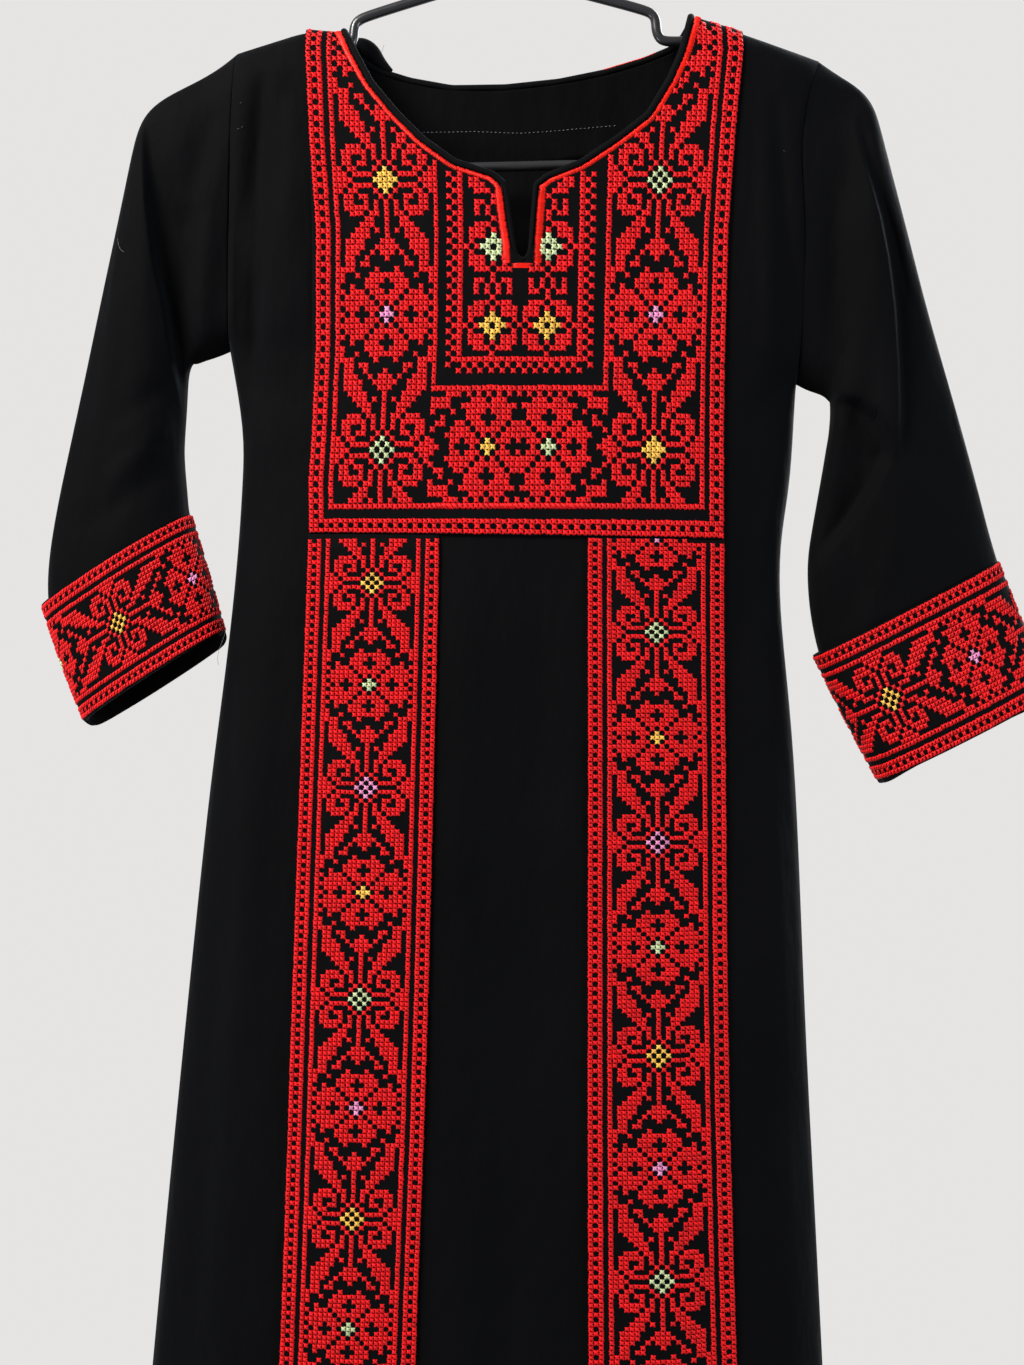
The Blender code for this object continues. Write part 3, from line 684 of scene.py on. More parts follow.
# %% Quarter chart of the band
FIELD = (
    "RRR....C.C", "RR.RRRR.C.", "R.RR...R.C", ".RR.RR..R.", ".RR..R.R.R",
    ".RRRRR.R.R", "..RRR.RR.R", ".....RR..R", "....RRR..R", "...RRR.R.R",
    "..RRRR...R", ".RRRR...RR", ".RRRR..RRR", ".RRR..R.RR", ".RR..R...R",
    ".RR.RR....", "RRR....R..", "R..R..RRRR", "R....RRRR.", "..R..RRR..",
    "R.RRR.RRR.", ".RRRRR.RRR", "RRRRRRR.R.", ".RRR.RRR.C", "R.R...R.CC",
)
HALF_REPEAT = 24
FIELD_MIDDLE = 9
BORDER = 5
BAND_COLUMNS = 2 * BORDER + 2 * FIELD_MIDDLE + 1


def field_stitch(across, row, cycle):
    """The stitch in the repeating field, by its column from the middle and its row."""
    across = abs(across)
    along = row % (2 * HALF_REPEAT)
    along = min(along, 2 * HALF_REPEAT - along)
    letter = FIELD[along][FIELD_MIDDLE - across]
    if letter == "C":
        return cycle[math.floor(row / HALF_REPEAT + 0.5) % len(cycle)]
    return letter


def border_stitch(edge, row):
    """The border, from the outside in: red, dots, red, bare, red."""
    if edge == 3 or (edge == 1 and row % 2 == 0):
        return "."
    return "R"


def band_stitch(column, row, cycle):
    edge = min(column, BAND_COLUMNS - 1 - column)
    if edge < BORDER:
        return border_stitch(edge, row)
    return field_stitch(column - BAND_COLUMNS // 2, row, cycle)


print("band chart:", BAND_COLUMNS, "columns, repeat of", 2 * HALF_REPEAT, "rows")

# %% [markdown]
# The chest panel is 81 stitches wide. A band's field runs down each side. Between them a
# frame with a toothed outer edge holds four eight-petalled stars, and the neck cuts off two
# more. A star is small enough to give by rule. Two rosettes close the foot: they are the
# band's own field, laid on its side.

# %% Chest charts
CHEST_COLUMNS = 81
CHEST_MIDDLE = 40
STAR_COLUMN = 5
STAR_ROWS = {-2: "green", 12: "green", 26: "yellow"}
STAR_RED = {0: (3, 5), 1: (4,), 2: (2, 3, 4), 3: (0, 2, 3, 4), 4: (1, 2, 3)}
COMB_TOPS = (4, 18)
COMB = ((0, 2, 3), (1, 3), (1, 3))
FRAME_SIDE = 11
FRAME_ROW = 32
FRAME_FOOT = 36
CENTRE_LINE = 16
SIDE_FIELD = 26
FOOT_ROW = 58
EDGE_ROWS = 5
ROSETTE_COLUMNS = 35
ROSETTE_COLUMN = 6
ROSETTE_REACH = 10


def comb_stitch(across, row, on_left):
    """The three-toothed comb over a star: it opens downwards on the left, upwards on the right."""
    for top in COMB_TOPS:
        if top <= row < top + len(COMB):
            return "R" if abs(across) in COMB[row - top if on_left else top - row - 1] else "."
    return None


def star_stitch(across, down, colour):
    """One star, by distance from its middle, and the stem that joins it to the next comb."""
    across, away = abs(across), abs(down)
    if across + away <= 2:
        return "." if across + away == 0 else colour
    if away in STAR_RED:
        return "R" if across in STAR_RED[away] else "."
    return "R" if across == 0 and away == 5 else "."


def centre_stitch(across, row):
    """The framed stars in the middle, by column from the middle line."""
    side = abs(across)
    if row > FRAME_FOOT:
        return "."
    if side == CENTRE_LINE:
        return "R"
    ring = max(side - FRAME_SIDE, row - FRAME_ROW)
    if ring > 2:
        return "."
    if ring == 0:
        return "R"
    if ring > 0:
        step = row if side - FRAME_SIDE == ring else across
        return "R" if (step + ring) % 2 else "."
    comb = comb_stitch(side - STAR_COLUMN, row, across < 0)
    if comb:
        return comb
    nearest = min(STAR_ROWS, key=lambda middle: abs(row - middle))
    return star_stitch(side - STAR_COLUMN, row - nearest, STAR_ROWS[nearest])


def side_stitch(across, row, on_left):
    """The band's field at the side. Its yellow diamonds are filled with extra stitches."""
    cycle = ("yellow", "pink", "green") if on_left else ("green", "pink", "yellow")
    letter = field_stitch(across, row, cycle)
    diamond = round(row / (2 * HALF_REPEAT)) * 2
    away = abs(across) + abs(row - diamond * HALF_REPEAT)
    return "yellow" if away == 1 and cycle[diamond] == "yellow" else letter


def chest_stitch(column, row):
    """The border from the outside in, then the side fields and the framed middle."""
    across = column - CHEST_MIDDLE
    edge = CHEST_MIDDLE - abs(across)
    low = FOOT_ROW + EDGE_ROWS - row
    ring = min(edge, low)
    if ring == 1:
        return "R" if (across if low == 1 else row) % 2 else "."
    if ring < EDGE_ROWS:
        return "." if ring == 3 or (low == 4 and edge > 3) else "R"
    if low == EDGE_ROWS:
        return "R"
    if abs(across) >= SIDE_FIELD - FIELD_MIDDLE:
        return side_stitch(abs(across) - SIDE_FIELD, row, across < 0)
    return centre_stitch(across, row)


def rosette_stitch(column, row):
    """The field on its side, between two lines, with a rosette left and right of the middle."""
    across, down = column - ROSETTE_COLUMNS // 2, row - ROSETTE_REACH
    if abs(down) == ROSETTE_REACH:
        return "R"
    colour = "yellow" if across < 0 else "green"
    return field_stitch(down, HALF_REPEAT + abs(across) - ROSETTE_COLUMN, (colour, colour))


print("chest chart:", CHEST_COLUMNS, "columns")

# %% [markdown]
# ## One cross stitch
#
# A stitch is two short threads that cross, each sinking into the cloth at its ends. A low
# sphere, stretched a little past the diagonal of its square, gives that shape with twelve
# triangles. The second thread lies on the first.

# %% The stitch shape
THREAD_WIDTH = 0.648
THREAD_HEIGHT = 0.75 * MM
THREE_SIDED = 1.15
STITCH_SINK = 0.05 * MM
OVER = 0.28 * MM
CROSS_LENGTH = 1.52
SATIN_WIDTH = 1.3
SATIN_HEIGHT = 0.7 * MM


def stitch_shape(angles, lifts, length, width, height):
    """(points, faces) of a few threads in a unit square, with heights in metres."""
    mesh = bmesh.new()
    for angle, lift in zip(angles, lifts):
        made = bmesh.ops.create_uvsphere(mesh, u_segments=3, v_segments=3, radius=0.5)
        threads = made["verts"]
        bmesh.ops.rotate(mesh, verts=threads, matrix=Matrix.Rotation(math.pi / 2, 3, "Y"))
        bmesh.ops.scale(mesh, verts=threads, vec=(length, width * THREE_SIDED, height * 2))
        bmesh.ops.rotate(mesh, verts=threads, matrix=Matrix.Rotation(angle, 3, "Z"))
        bmesh.ops.translate(mesh, verts=threads, vec=(0, 0, lift - STITCH_SINK))
    bmesh.ops.triangulate(mesh, faces=mesh.faces[:])
    mesh.verts.index_update()
    points = np.array([v.co[:] for v in mesh.verts])
    faces = np.array([[v.index for v in f.verts] for f in mesh.faces])
    mesh.free()
    return points, faces


CROSS = stitch_shape((math.pi / 4, -math.pi / 4), (0.0, OVER), CROSS_LENGTH, THREAD_WIDTH, THREAD_HEIGHT)
BAR = stitch_shape((0.0,), (0.0,), 1.0, SATIN_WIDTH, SATIN_HEIGHT)
print("a cross stitch has", len(CROSS[1]), "triangles")

# %% [markdown]
# ## Laying stitches on a panel
#
# The chart's squares have to follow the cloth. Rays cast at the finished panel from in front
# find where each corner of each square lands. The corners give every stitch its middle, its
# two sides and the way out of the cloth, and copies of the one shape are set there.

# %% Finding the cloth and placing copies
DICE = np.random.default_rng(11)
TURNED = 0.05
RESIZED = 0.04
SLIPPED = 0.035
UNEVEN_DYE = 0.1


def seen_from_front(trees, x, z):
    """Where a ray along +Y first meets one of the pieces, in metres, or None."""
    start = Vector((x * MM, -RAY_START, z * MM))
    found = [tree.ray_cast(start, Vector((0, 1, 0)), RAY_LENGTH) for tree in trees]
    found = [hit[0] for hit in found if hit[0] is not None]
    return min(found, key=lambda place: place.y) if found else None


def stitched(name, shape, middles, across, along, out, colours, finish):
    """One mesh of many copies of a stitch, each with its own colour."""
    points, faces = shape
    count = len(middles)
    turn = DICE.normal(0, TURNED, count)[:, None]
    size = DICE.normal(1.0, RESIZED, count)[:, None, None]
    first = across + along * turn
    second = along - across * turn
    slip = DICE.normal(0, SLIPPED, (count, 2))
    base = middles + across * slip[:, :1] + along * slip[:, 1:]
    spread = points[None, :, 0:1] * first[:, None] + points[None, :, 1:2] * second[:, None]
    spots = base[:, None] + spread * size + points[None, :, 2:3] * out[:, None]
    steps = np.arange(count)[:, None, None] * len(points)
    corners = (faces[None] + steps).reshape(-1, 3)
    mesh = bpy.data.meshes.new(name)
    mesh.vertices.add(count * len(points))
    mesh.vertices.foreach_set("co", spots.ravel())
    mesh.loops.add(corners.size)
    mesh.loops.foreach_set("vertex_index", corners.ravel())
    mesh.polygons.add(len(corners))
    mesh.polygons.foreach_set("loop_start", np.arange(len(corners)) * 3)
    shades = np.array([DYES[colour] for colour in colours])
    shades = np.clip(shades * DICE.normal(1.0, UNEVEN_DYE, (count, 1)), 0, 1)
    dyed = mesh.attributes.new("dyed", "FLOAT_COLOR", "POINT")
    full = np.concatenate([shades, np.ones((count, 1))], axis=1)
    dyed.data.foreach_set("color", np.repeat(full, len(points), axis=0).ravel())
    mesh.update(calc_edges=True)
    mesh.validate()
    mesh.shade_smooth()
    made = piece(name, mesh, finish)
    print(name, count, "stitches,", len(corners), "triangles")
    return made


def chart_on(name, corner, columns, rows, letter, way=1):
    """Cross stitches for every filled square of a chart whose corners are found by corner().

    way is -1 where the rows run the other way round, so that the stitches still face out."""
    spots = {(c, r): corner(c, r) for r in range(rows[0], rows[1] + 1) for c in range(columns + 1)}
    found = []
    for row in range(*rows):
        for column in range(columns):
            colour = letter(column, row)
            square = [spots[column + c, row + r] for c, r in ((0, 0), (1, 0), (1, 1), (0, 1))]
            if colour == "." or any(place is None for place in square):
                continue
            found.append((*[np.array(place) for place in square], colour))
    one, two, three, four = (np.array([square[k] for square in found]) for k in range(4))
    across = (two + three - one - four) / 2
    along = way * (one + two - three - four) / 2
    out = unit(np.cross(across, along))
    middles = (one + two + three + four) / 4
    colours = [square[4] for square in found]
    return stitched(name, CROSS, middles, across, along, out, colours, COTTON)


# %% [markdown]
# ## Where the chart lies
#
# The photograph gives the height of each motif on the bands, and the panels' edges. Rows
# between two motifs are shared out evenly, and below the picture the last spacing goes on.

# %% Panel edges and motif heights
EDGE_COLUMNS = ("z", "panel_l", "band_l", "band_r", "panel_r")
EDGES = (
    (-120, -124.0, -52.0, 62.0, 148.0), (-147, -124.0, -52.0, 62.0, 148.0),
    (-170, -122.5, -48.0, 59.0, 145.5), (-200, -121.0, -44.0, 56.0, 142.5),
    (-260, -116.6, -41.0, 52.0, 138.0), (-330, -116.8, -40.0, 51.0, 136.0),
    (-385, -119.5, -40.0, 51.0, 135.5), (-415, -121.5, -40.0, 51.0, 135.6),
    (-448, -121.0, -40.0, 50.7, 135.5), (-480, -121.8, -40.5, 50.7, 135.0),
    (-540, -123.8, -41.8, 50.7, 135.3), (-610, -126.0, -43.4, 50.7, 135.8),
    (-700, -129.0, -45.6, 50.4, 136.3), (-800, -132.0, -48.4, 50.2, 137.4),
    (-900, -135.0, -52.2, 50.4, 140.0), (-1000, -138.5, -55.6, 50.8, 143.0),
    (-1120, -142.0, -59.0, 51.5, 146.5), (-1250, -146.0, -62.5, 52.3, 150.5),
    (-1407, -151.0, -66.5, 53.0, 155.0),
)
CHEST_INSET = 0.7
BAND_INSET = 0.1
MOTIFS = {
    "left": (0, (-477.2, -539.5, -602.2, -666.0, -730.7, -796.5, -863.2, -929.0)),
    "right": (-1, (-448.8, -507.2, -571.8, -635.7, -699.4, -765.2, -833.2, -900.9)),
}
CHEST_TOP = -229.5
CHEST_PITCH = -3.46
COLUMN_STOPS = ((0, 0.0), (24, 0.287), (27, 0.318), (54, 0.6775), (57, 0.716), (81, 1.0))
LOWEST = -1404.0
FAR_ROWS = (-60, 600)


def edge(name, z):
    table = np.array(EDGES)[::-1]
    return float(np.interp(z, table[:, 0], table[:, EDGE_COLUMNS.index(name)]))


def between(one, two, share, z):
    inset = BAND_INSET if "band" in one + two else CHEST_INSET
    left = edge(one, z) + inset
    right = edge(two, z) - inset
    return left + (right - left) * share


def chest_x(column, z):
    """Where a column's left edge lies on the chest. The framed middle is a little apart."""
    return between("panel_l", "panel_r", float(np.interp(column, *zip(*COLUMN_STOPS))), z)


def row_height(motifs, row):
    """Height of a row, where each motif's middle is half a repeat below the last."""
    first, motifs = motifs
    at = row / HALF_REPEAT - first
    last = len(motifs) - 1
    if at > last:
        return motifs[-1] + (at - last) * (motifs[-1] - motifs[-2])
    if at < 0:
        return motifs[0] + at * (motifs[1] - motifs[0])
    return float(np.interp(at, range(last + 1), motifs))


def rows_between(motifs, top, foot):
    inside = [r for r in range(*FAR_ROWS) if foot < row_height(motifs, r + 1) and row_height(motifs, r) < top]
    return inside[0], inside[-1] + 1


# %% Stitch the bands
BAND_TOP = -449.5
RIM_STEP = 1.2
RIM_TRIES = 3
chest_tree = surface(chest.data)
band_trees = {"left": surface(band_left.data), "right": surface(band_right.data)}
CYCLES = {"left": ("yellow", "green", "pink"), "right": ("green", "yellow", "pink")}
BAND_EDGES = {"left": ("panel_l", "band_l"), "right": ("band_r", "panel_r")}


def band_corner(hand):
    """Corners on one band. Past its rim they take the depth found a step further in."""
    def corner(column, row):
        z = row_height(MOTIFS[hand], row - 0.5)
        x = between(*BAND_EDGES[hand], column / BAND_COLUMNS, z)
        inward = RIM_STEP if column < BAND_COLUMNS / 2 else -RIM_STEP
        for tried in range(RIM_TRIES):
            found = seen_from_front([band_trees[hand]], x + inward * tried, z)
            if found is not None:
                return Vector((x * MM, found.y, z * MM))
        return None
    return corner


band_stitches = {
    hand: chart_on(
        f"skirt_band_{hand}_stitches", band_corner(hand), BAND_COLUMNS,
        rows_between(MOTIFS[hand], BAND_TOP, LOWEST),
        lambda column, row, hand=hand: band_stitch(column, row, CYCLES[hand]),
    )
    for hand in ("left", "right")
}

# %% Stitch the chest
CHEST_FOOT = ((-124.0, -445.6), (-22.0, -447.1), (80.0, -448.5), (148.0, -449.2))
ROSETTE_TOP = -356.2
ROSETTE_FOOT = -431.9


def chest_height(row, x=0.0):
    """Height of a row's middle. The rows under the field are pressed together, to end at the foot."""
    plain = CHEST_TOP + CHEST_PITCH * row
    last = FOOT_ROW + 0.5
    if row <= last:
        return plain
    foot = CHEST_TOP + CHEST_PITCH * last
    return foot + (float(np.interp(x, *zip(*CHEST_FOOT))) - foot) * (row - last) / EDGE_ROWS


def chest_corner(column, row):
    x = chest_x(column, chest_height(row - 0.5))
    return seen_from_front([chest_tree], x, chest_height(row - 0.5, x))


def rosette_corner(column, row):
    z = ROSETTE_TOP + (ROSETTE_FOOT - ROSETTE_TOP) * row / (2 * ROSETTE_REACH + 1)
    (_, left), (_, right) = COLUMN_STOPS[1], COLUMN_STOPS[-2]
    share = left + (right - left) * column / ROSETTE_COLUMNS
    return seen_from_front([chest_tree], between("panel_l", "panel_r", share, z), z)


SCOOP_CLEAR = 8.4
SLIT_CLEAR = 8.8
SLIT_ROWS = -232.0


def clear_of_neck(letter):
    """The chart without the squares that the satin edge covers."""
    route = even_steps(NECK + SLIT_FOOT + NECK_RIGHT, 1.0)

    def kept(column, row):
        z = CHEST_TOP + CHEST_PITCH * row
        near = np.linalg.norm(route - (chest_x(column + 0.5, z), z), axis=1).min()
        return letter(column, row) if near > (SLIT_CLEAR if z < SLIT_ROWS else SCOOP_CLEAR) else "."
    return kept


chest_stitches = chart_on(
    "chest_panel_stitches", chest_corner, CHEST_COLUMNS, (-32, FOOT_ROW + EDGE_ROWS + 1),
    clear_of_neck(chest_stitch),
)
rosette_stitches = chart_on(
    "chest_rosette_stitches", rosette_corner, ROSETTE_COLUMNS, (0, 2 * ROSETTE_REACH + 1), rosette_stitch
)

# %% [markdown]
# ## Cuffs
#
# A cuff is the same band, turned to run round the wrist. A ray from outside towards the
# middle of the sleeve finds the cloth at each angle. The distances between those points, added
# up, tell where equal stitches fall on the flattened tube.

# %% Stitch the cuffs
CUFFS = {
    "left": {"top": ((-291.7, -489.5), (-199.0, -431.5)), "foot": ((-265.0, -562.0), (-177.5, -506.0)),
             "motif": (-235.0, -506.6), "cycle": ("yellow", "green", "pink"), "pitch": 2.28, "way": 1,
             "tree": surface(cuff_left.data)},
    "right": {"top": ((310.6, -461.1), (194.8, -521.0)), "foot": ((343.6, -545.0), (236.0, -600.0)),
              "motif": (239.5, -552.0), "cycle": ("yellow", "pink"), "pitch": 2.43, "way": -1,
              "tree": surface(cuff_right.data)},
}
CUFF_ANGLES = 240
CUFF_DEPTH = 27.0
CUFF_MIDDLE_Y = 6.0
CUFF_FAR = 1.6
CUFF_RIM = 0.012


def cuff_ring(cuff, share):
    """Points round the cuff at a share of the way down, at even angles, and closed."""
    top, foot = np.array(cuff["top"]), np.array(cuff["foot"])
    left, right = top + (foot - top) * share
    middle = (left + right) / 2
    wide = (right - left) / 2
    aim = Vector((middle[0], CUFF_MIDDLE_Y, middle[1])) * MM

    def spot(angle, reach):
        x, z = middle + wide * math.cos(angle) * reach
        return Vector((x, CUFF_MIDDLE_Y - math.sin(angle) * CUFF_DEPTH * reach, z)) * MM
    points = []
    for angle in np.linspace(0, 2 * math.pi, CUFF_ANGLES, endpoint=False):
        far = spot(angle, CUFF_FAR)
        hit = cuff["tree"].ray_cast(far, (aim - far).normalized())[0]
        points.append(hit if hit is not None else spot(angle, 1))
    return np.array(points + points[:1])


def even(ring, count):
    """The closed ring cut into equal lengths."""
    return at_distances(ring, np.arange(count) / count * distances(ring)[-1])


def cuff_stitches(hand):
    """The band round one cuff. It starts and ends at the seam under the arm."""
    cuff = CUFFS[hand]
    rings = [cuff_ring(cuff, share) for share in np.linspace(CUFF_RIM, 1 - CUFF_RIM, BAND_COLUMNS + 1)]
    middle = rings[BAND_COLUMNS // 2]
    along = distances(middle)
    rows = round(along[-1] / (cuff["pitch"] * MM))
    gaps = np.linalg.norm(middle[:, [0, 2]] - np.array(cuff["motif"]) * MM, axis=1)
    gaps += middle[:, 1] > CUFF_MIDDLE_Y * MM
    motif_row = round(along[int(np.argmin(gaps))] / along[-1] * rows)
    places = [even(ring, rows) for ring in rings]
    return chart_on(
        f"cuff_{hand}_stitches",
        lambda column, row: places[column][row % rows],
        BAND_COLUMNS, (0, rows),
        lambda column, row: band_stitch(column, row - motif_row, cuff["cycle"]), cuff["way"],
    )


cuff_threads = {hand: cuff_stitches(hand) for hand in ("left", "right")}

# %% [markdown]
# ## Satin edge of the neck
#
# Outside the black binding runs a line of orange-red satin stitch: threads laid side by side
# across the line. It is wider down both sides of the slit, with a bar under the slit's foot.

# %% Satin stitches round the neck
SATIN_STEP = 0.62
SATIN_SIZES = (
    (-300.0, 6.2, 5.2), (-240.0, 6.2, 5.2), (-226.0, 6.1, 3.1),
    (-170.0, 6.2, 3.2), (-145.0, 6.6, 4.2), (-100.0, 6.6, 4.2),
)
SATIN_FOOT = {"left": (7.2, -281.5), "right": (14.2, -281.5)}
BAR_ENDS = (0.8, 20.4)
BAR_HEIGHTS = (-281.4, -282.0, -282.6, -283.2, -283.8)
BACK_EDGE = (62.0, 97.0)
HALF_LAID = 0.45
BAR_SHORTER = 1.3
front_tree = surface(front.data)


def laid(name, shape, found, finish, colour):
    """Threads side by side, from their (middle, across) in metres: each lies square to the cloth."""
    middles, across = (np.array([row[k] for row in found]) for k in (0, 1))
    ahead = unit(np.gradient(middles, axis=0))
    out = unit(np.cross(across, ahead))
    out *= -np.sign(out[:, 1:2])
    along = ahead * SATIN_STEP * MM
    return stitched(name, shape, middles, across, along, out, [colour] * len(found), finish)


def brought_forward(ends):
    """No thread end lies deeper than those beside it, so none sinks into the cloth."""
    ends = np.array(ends)
    depth = np.pad(ends[:, 1], 3, mode="edge")
    ends[:, 1] = np.min([depth[k : k + len(ends)] for k in range(7)], axis=0)
    return softened(ends, 2)


def satin_line(name, line):
    """Threads across a line that is moved sideways from the neck's finished edge."""
    route = softened(even_steps(line, SATIN_STEP), 4)
    aside = softened(outward(route), 4)
    sizes = np.array(SATIN_SIZES)
    trees = [front_tree, chest_tree, surface(binding.data)]
    inner, outer = [], []
    for place, out in zip(route, aside):
        offset, width = (np.interp(place[1], sizes[:, 0], sizes[:, k]) for k in (1, 2))
        spots = [place + out * (offset + width * share) for share in (HALF_LAID, 0, -HALF_LAID)]
        far, middle, near = (seen_from_front(trees, *spot) for spot in spots)
        if far is None or middle is None:
            continue
        near = near if near is not None else 2 * middle - far
        inner.append(near)
        outer.append(far)
    pairs = zip(brought_forward(inner), brought_forward(outer))
    found = [((near + far) / 2, (far - near) / (2 * HALF_LAID)) for near, far in pairs]
    return laid(name, BAR, found, SATIN, "satin")


def satin_bar():
    """A few long threads under the foot of the slit."""
    ends = [[np.array(seen_from_front([front_tree, chest_tree], x, z)) for x in BAR_ENDS] for z in BAR_HEIGHTS]
    found = [((a + b) / 2, (b - a) / BAR_SHORTER) for a, b in ends]
    return laid("satin_bar", BAR, found, SATIN, "satin")


def back_edge():
    """The red edge of the back neck, of which a little shows over the right shoulder."""
    line = roll_line()
    line = line[(line[:, 1] > 0) & (line[:, 0] > BACK_EDGE[0] * MM) & (line[:, 0] < BACK_EDGE[1] * MM)]
    line = even_steps(line, SATIN_STEP * MM)
    found = [(place + (0, -0.0012, 0.0018), np.array((0, 0.0008, 0.0012))) for place in line]
    return laid("satin_back_edge", BAR, found, SATIN, "satin")


satin_edges = (
    satin_line("satin_edge_left", NECK + (SATIN_FOOT["left"],)),
    satin_line("satin_edge_right", (SATIN_FOOT["right"],) + NECK_RIGHT),
    satin_bar(),
    back_edge(),
)

# %% [markdown]
# ## Small signs of handwork
#
# A line of machine stitches holds the facing, a few tacking stitches show at the
# armholes, and some thread ends were never trimmed.

# %% Facing stitches, tacks and loose ends
FACING_LINE = ((-52.0, -186.4), (-20.0, -185.6), (10.0, -186.6), (38.0, -184.8), (70.0, -182.0))
TACKS = ((-163.5, -179.0, 0.6), (-165.0, -195.0, 0.1), (-162.6, -194.0, 0.9), (173.0, -209.0, -0.5))
LOOSE = (
    ((-241, None, -261.5), (-240.6, None, -266), (-239, None, -270), (-235.5, None, -271.5)),
    ((-175, -8, -507), (-177, -10, -514), (-181, -11, -521), (-179, -9, -527)),
    ((-80, 22, -140), (-79.5, 20, -135), (-77.5, 19, -130)),
)
FACING_STEP = 2.7
FACING_STITCH = 1.7
END_RADIUS = 0.11
facing_tree = surface(facing.data)


def facing_out(name, spots, along, side, dye):
    """Single threads that face the front."""
    out = np.tile([0.0, -1.0, 0.0], (len(spots), 1))
    return stitched(name, BAR, spots, along, side, out, [dye] * len(spots), COTTON)


def facing_seam():
    route = even_steps(FACING_LINE, FACING_STEP)
    spots = [seen_from_front([facing_tree], x, z) for x, z in route]
    spots = np.array([spot for spot in spots if spot is not None])
    along = np.gradient(spots, axis=0)
    along *= FACING_STITCH * MM / np.linalg.norm(along, axis=1)[:, None]
    return facing_out("facing_seam", spots, along, np.tile([0, 0, 0.5 * MM], (len(spots), 1)), "grey")


def tacks():
    spots = [seen_from_front([front_tree, surface(sleeve_left.data)], x, z) for x, z, turn in TACKS]
    turns = np.array([row[2] for row in TACKS])
    along = np.column_stack([np.cos(turns), 0 * turns, np.sin(turns)]) * 2.2 * MM
    side = np.column_stack([-np.sin(turns), 0 * turns, np.cos(turns)]) * 0.8 * MM
    return facing_out("tacking_stitches", np.array(spots), along, side, "black")


def loose_ends():
    """Fine thread ends, as (x, y, z). Where y is None the thread lies on the sleeve."""
    tree = surface(sleeve_left.data)
    curve = round_curve("loose_ends", END_RADIUS * MM, 0)
    for line in LOOSE:
        depths = [seen_from_front([tree], x, z).y / MM - 1.0 if y is None else y for x, y, z in line]
        soft_line(curve, [(x * MM, depth * MM, z * MM, 1) for depth, (x, y, z) in zip(depths, line)])
    mesh = finished(linked("loose_guide", curve))
    dyed = mesh.attributes.new("dyed", "FLOAT_COLOR", "POINT")
    dyed.data.foreach_set("color", np.tile([*DYES["grey"], 1.0], (len(mesh.vertices), 1)).ravel())
    mesh.shade_smooth()
    return piece("loose_ends", mesh, COTTON)


seam = facing_seam()
tacked = tacks()
loose = loose_ends()
print("handwork added")

# %% [markdown]
# ## Studio
#
# A pale room with a bright window to the left, two weaker cool lights at the sides and a
# wide one behind. The camera stands 1.2 m away, level with the middle of the picture, so that the
# dress fills the frame and its hem runs out below, as in the photograph.

# %% Floor, lights and camera
FLOOR_Z = -1.62
CAMERA_AT = (0.0044, -1.2, -0.538)
SCALE = 0.63 * MM
PHOTO = (1024, 1365)
SENSOR = 36.0


def studio():
    mesh = bmesh.new()
    bmesh.ops.create_grid(mesh, x_segments=2, y_segments=2, size=1.6)
    bmesh.ops.translate(mesh, verts=mesh.verts[:], vec=(0, 0, FLOOR_Z))
    data = bpy.data.meshes.new("floor")
    mesh.to_mesh(data)
    mesh.free()
    floor = linked("floor", data)
    plaster = Finish("pale_floor", {"Roughness": 0.8})
    grain = plaster.cloudy(plaster.place(), 3.0, 3.0)
    plaster.feed(
        plaster.shader.inputs["Base Color"],
        plaster.mixed(grain, (0.26, 0.256, 0.25, 1), (0.29, 0.286, 0.28, 1)),
    )
    data.materials.append(plaster.material)


def lamp(name, place, size, power, colour):
    data = bpy.data.lights.new(name, "AREA")
    data.energy = power
    data.size = size
    data.color = colour
    made = linked(name, data)
    made.location = place
    aim = Vector((0, 0, -0.6)) - Vector(place)
    made.rotation_euler = aim.to_track_quat("-Z", "Y").to_euler()


def sky():
    world = bpy.data.worlds.new("pale_room")
    world.use_nodes = True
    background = world.node_tree.nodes["Background"]
    background.inputs["Color"].default_value = (0.93, 0.915, 0.9, 1)
    background.inputs["Strength"].default_value = 0.85
    bpy.context.scene.world = world


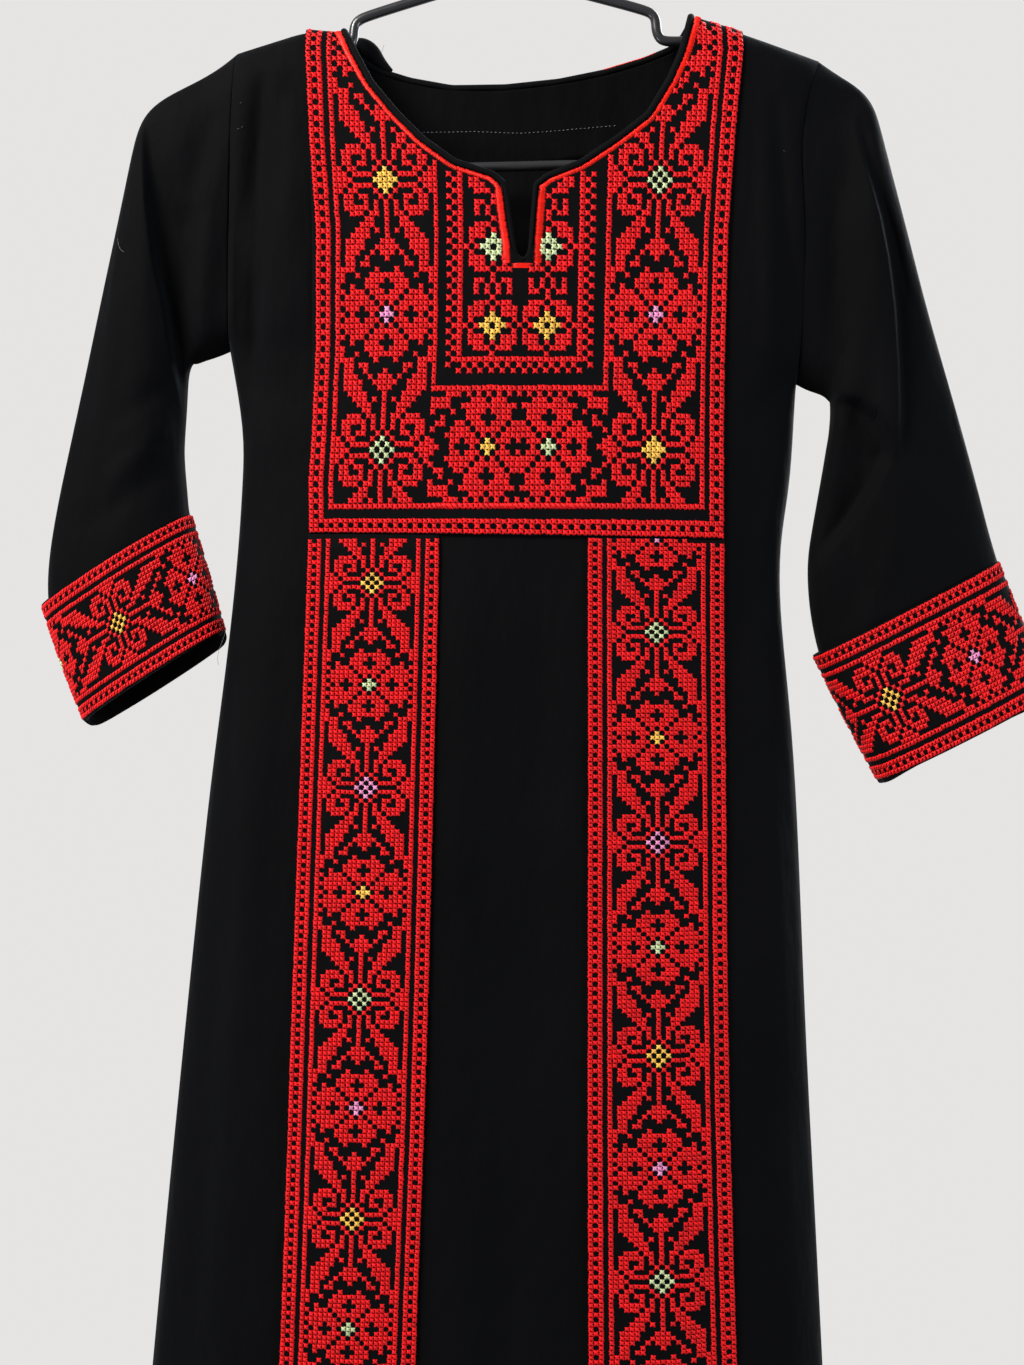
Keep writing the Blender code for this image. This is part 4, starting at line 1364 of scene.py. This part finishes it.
studio()
sky()
lamp("window", (-1.1, -1.0, 0.75), 0.7, 130, (1.0, 0.98, 0.95))
lamp("fill_right", (1.7, -0.8, -0.6), 0.7, 44, (0.8, 0.89, 1.0))
lamp("fill_left", (-1.8, -0.7, -1.4), 0.7, 34, (0.8, 0.89, 1.0))
lamp("behind", (1.5, 1.5, 0.5), 1.8, 120, (0.95, 0.97, 1.0))

lens = bpy.data.cameras.new("camera")
lens.sensor_width = SENSOR
lens.lens = SENSOR * -CAMERA_AT[1] / (PHOTO[1] * SCALE)
camera = linked("camera", lens)
camera.location = CAMERA_AT
camera.rotation_euler = (math.pi / 2, 0, 0)
bpy.context.scene.camera = camera
bpy.context.scene.view_settings.view_transform = "Standard"
print("lens", round(lens.lens, 2), "mm")

# %% [markdown]
# ## The cloth pieces and their flat sizes
#
# Every cloth piece is listed with the size it was cut to before it hung, its flat area, a slot
# name and the threads on it. The loop prints the area of each piece's mesh beside its flat area.

SHEETS = (
    (front, (0.52, 1.29), 0.53, "cloth", ()),
    (back, (0.52, 1.29), 0.535, "cloth", ()),
    (sleeve_left, (0.30, 0.42), 0.084, "cloth", (tacked, loose)),
    (sleeve_right, (0.32, 0.45), 0.1, "cloth", ()),
    (chest, (0.27, 0.34), 0.075, "stitched", (chest_stitches, rosette_stitches, *satin_edges)),
    (band_left, (0.088, 0.96), 0.082, "stitched", (band_stitches["left"],)),
    (band_right, (0.095, 0.96), 0.09, "stitched", (band_stitches["right"],)),
    (cuff_left, (0.25, 0.077), 0.0192, "stitched", (cuff_threads["left"],)),
    (cuff_right, (0.27, 0.09), 0.0243, "stitched", (cuff_threads["right"],)),
    (facing, (0.22, 0.06), 0.0112, "facing", (seam,)),
)


def cloth_area(made):
    """Half the closed mesh's surface, in square metres."""
    mesh = bmesh.new()
    mesh.from_mesh(made.data)
    area = sum(face.calc_area() for face in mesh.faces) / 2
    mesh.free()
    return area


for made, flat, area, slot, threads in SHEETS:
    for thread in threads:
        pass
    print(made.name, "area", round(cloth_area(made), 4), "flat", area)
    list(threads)
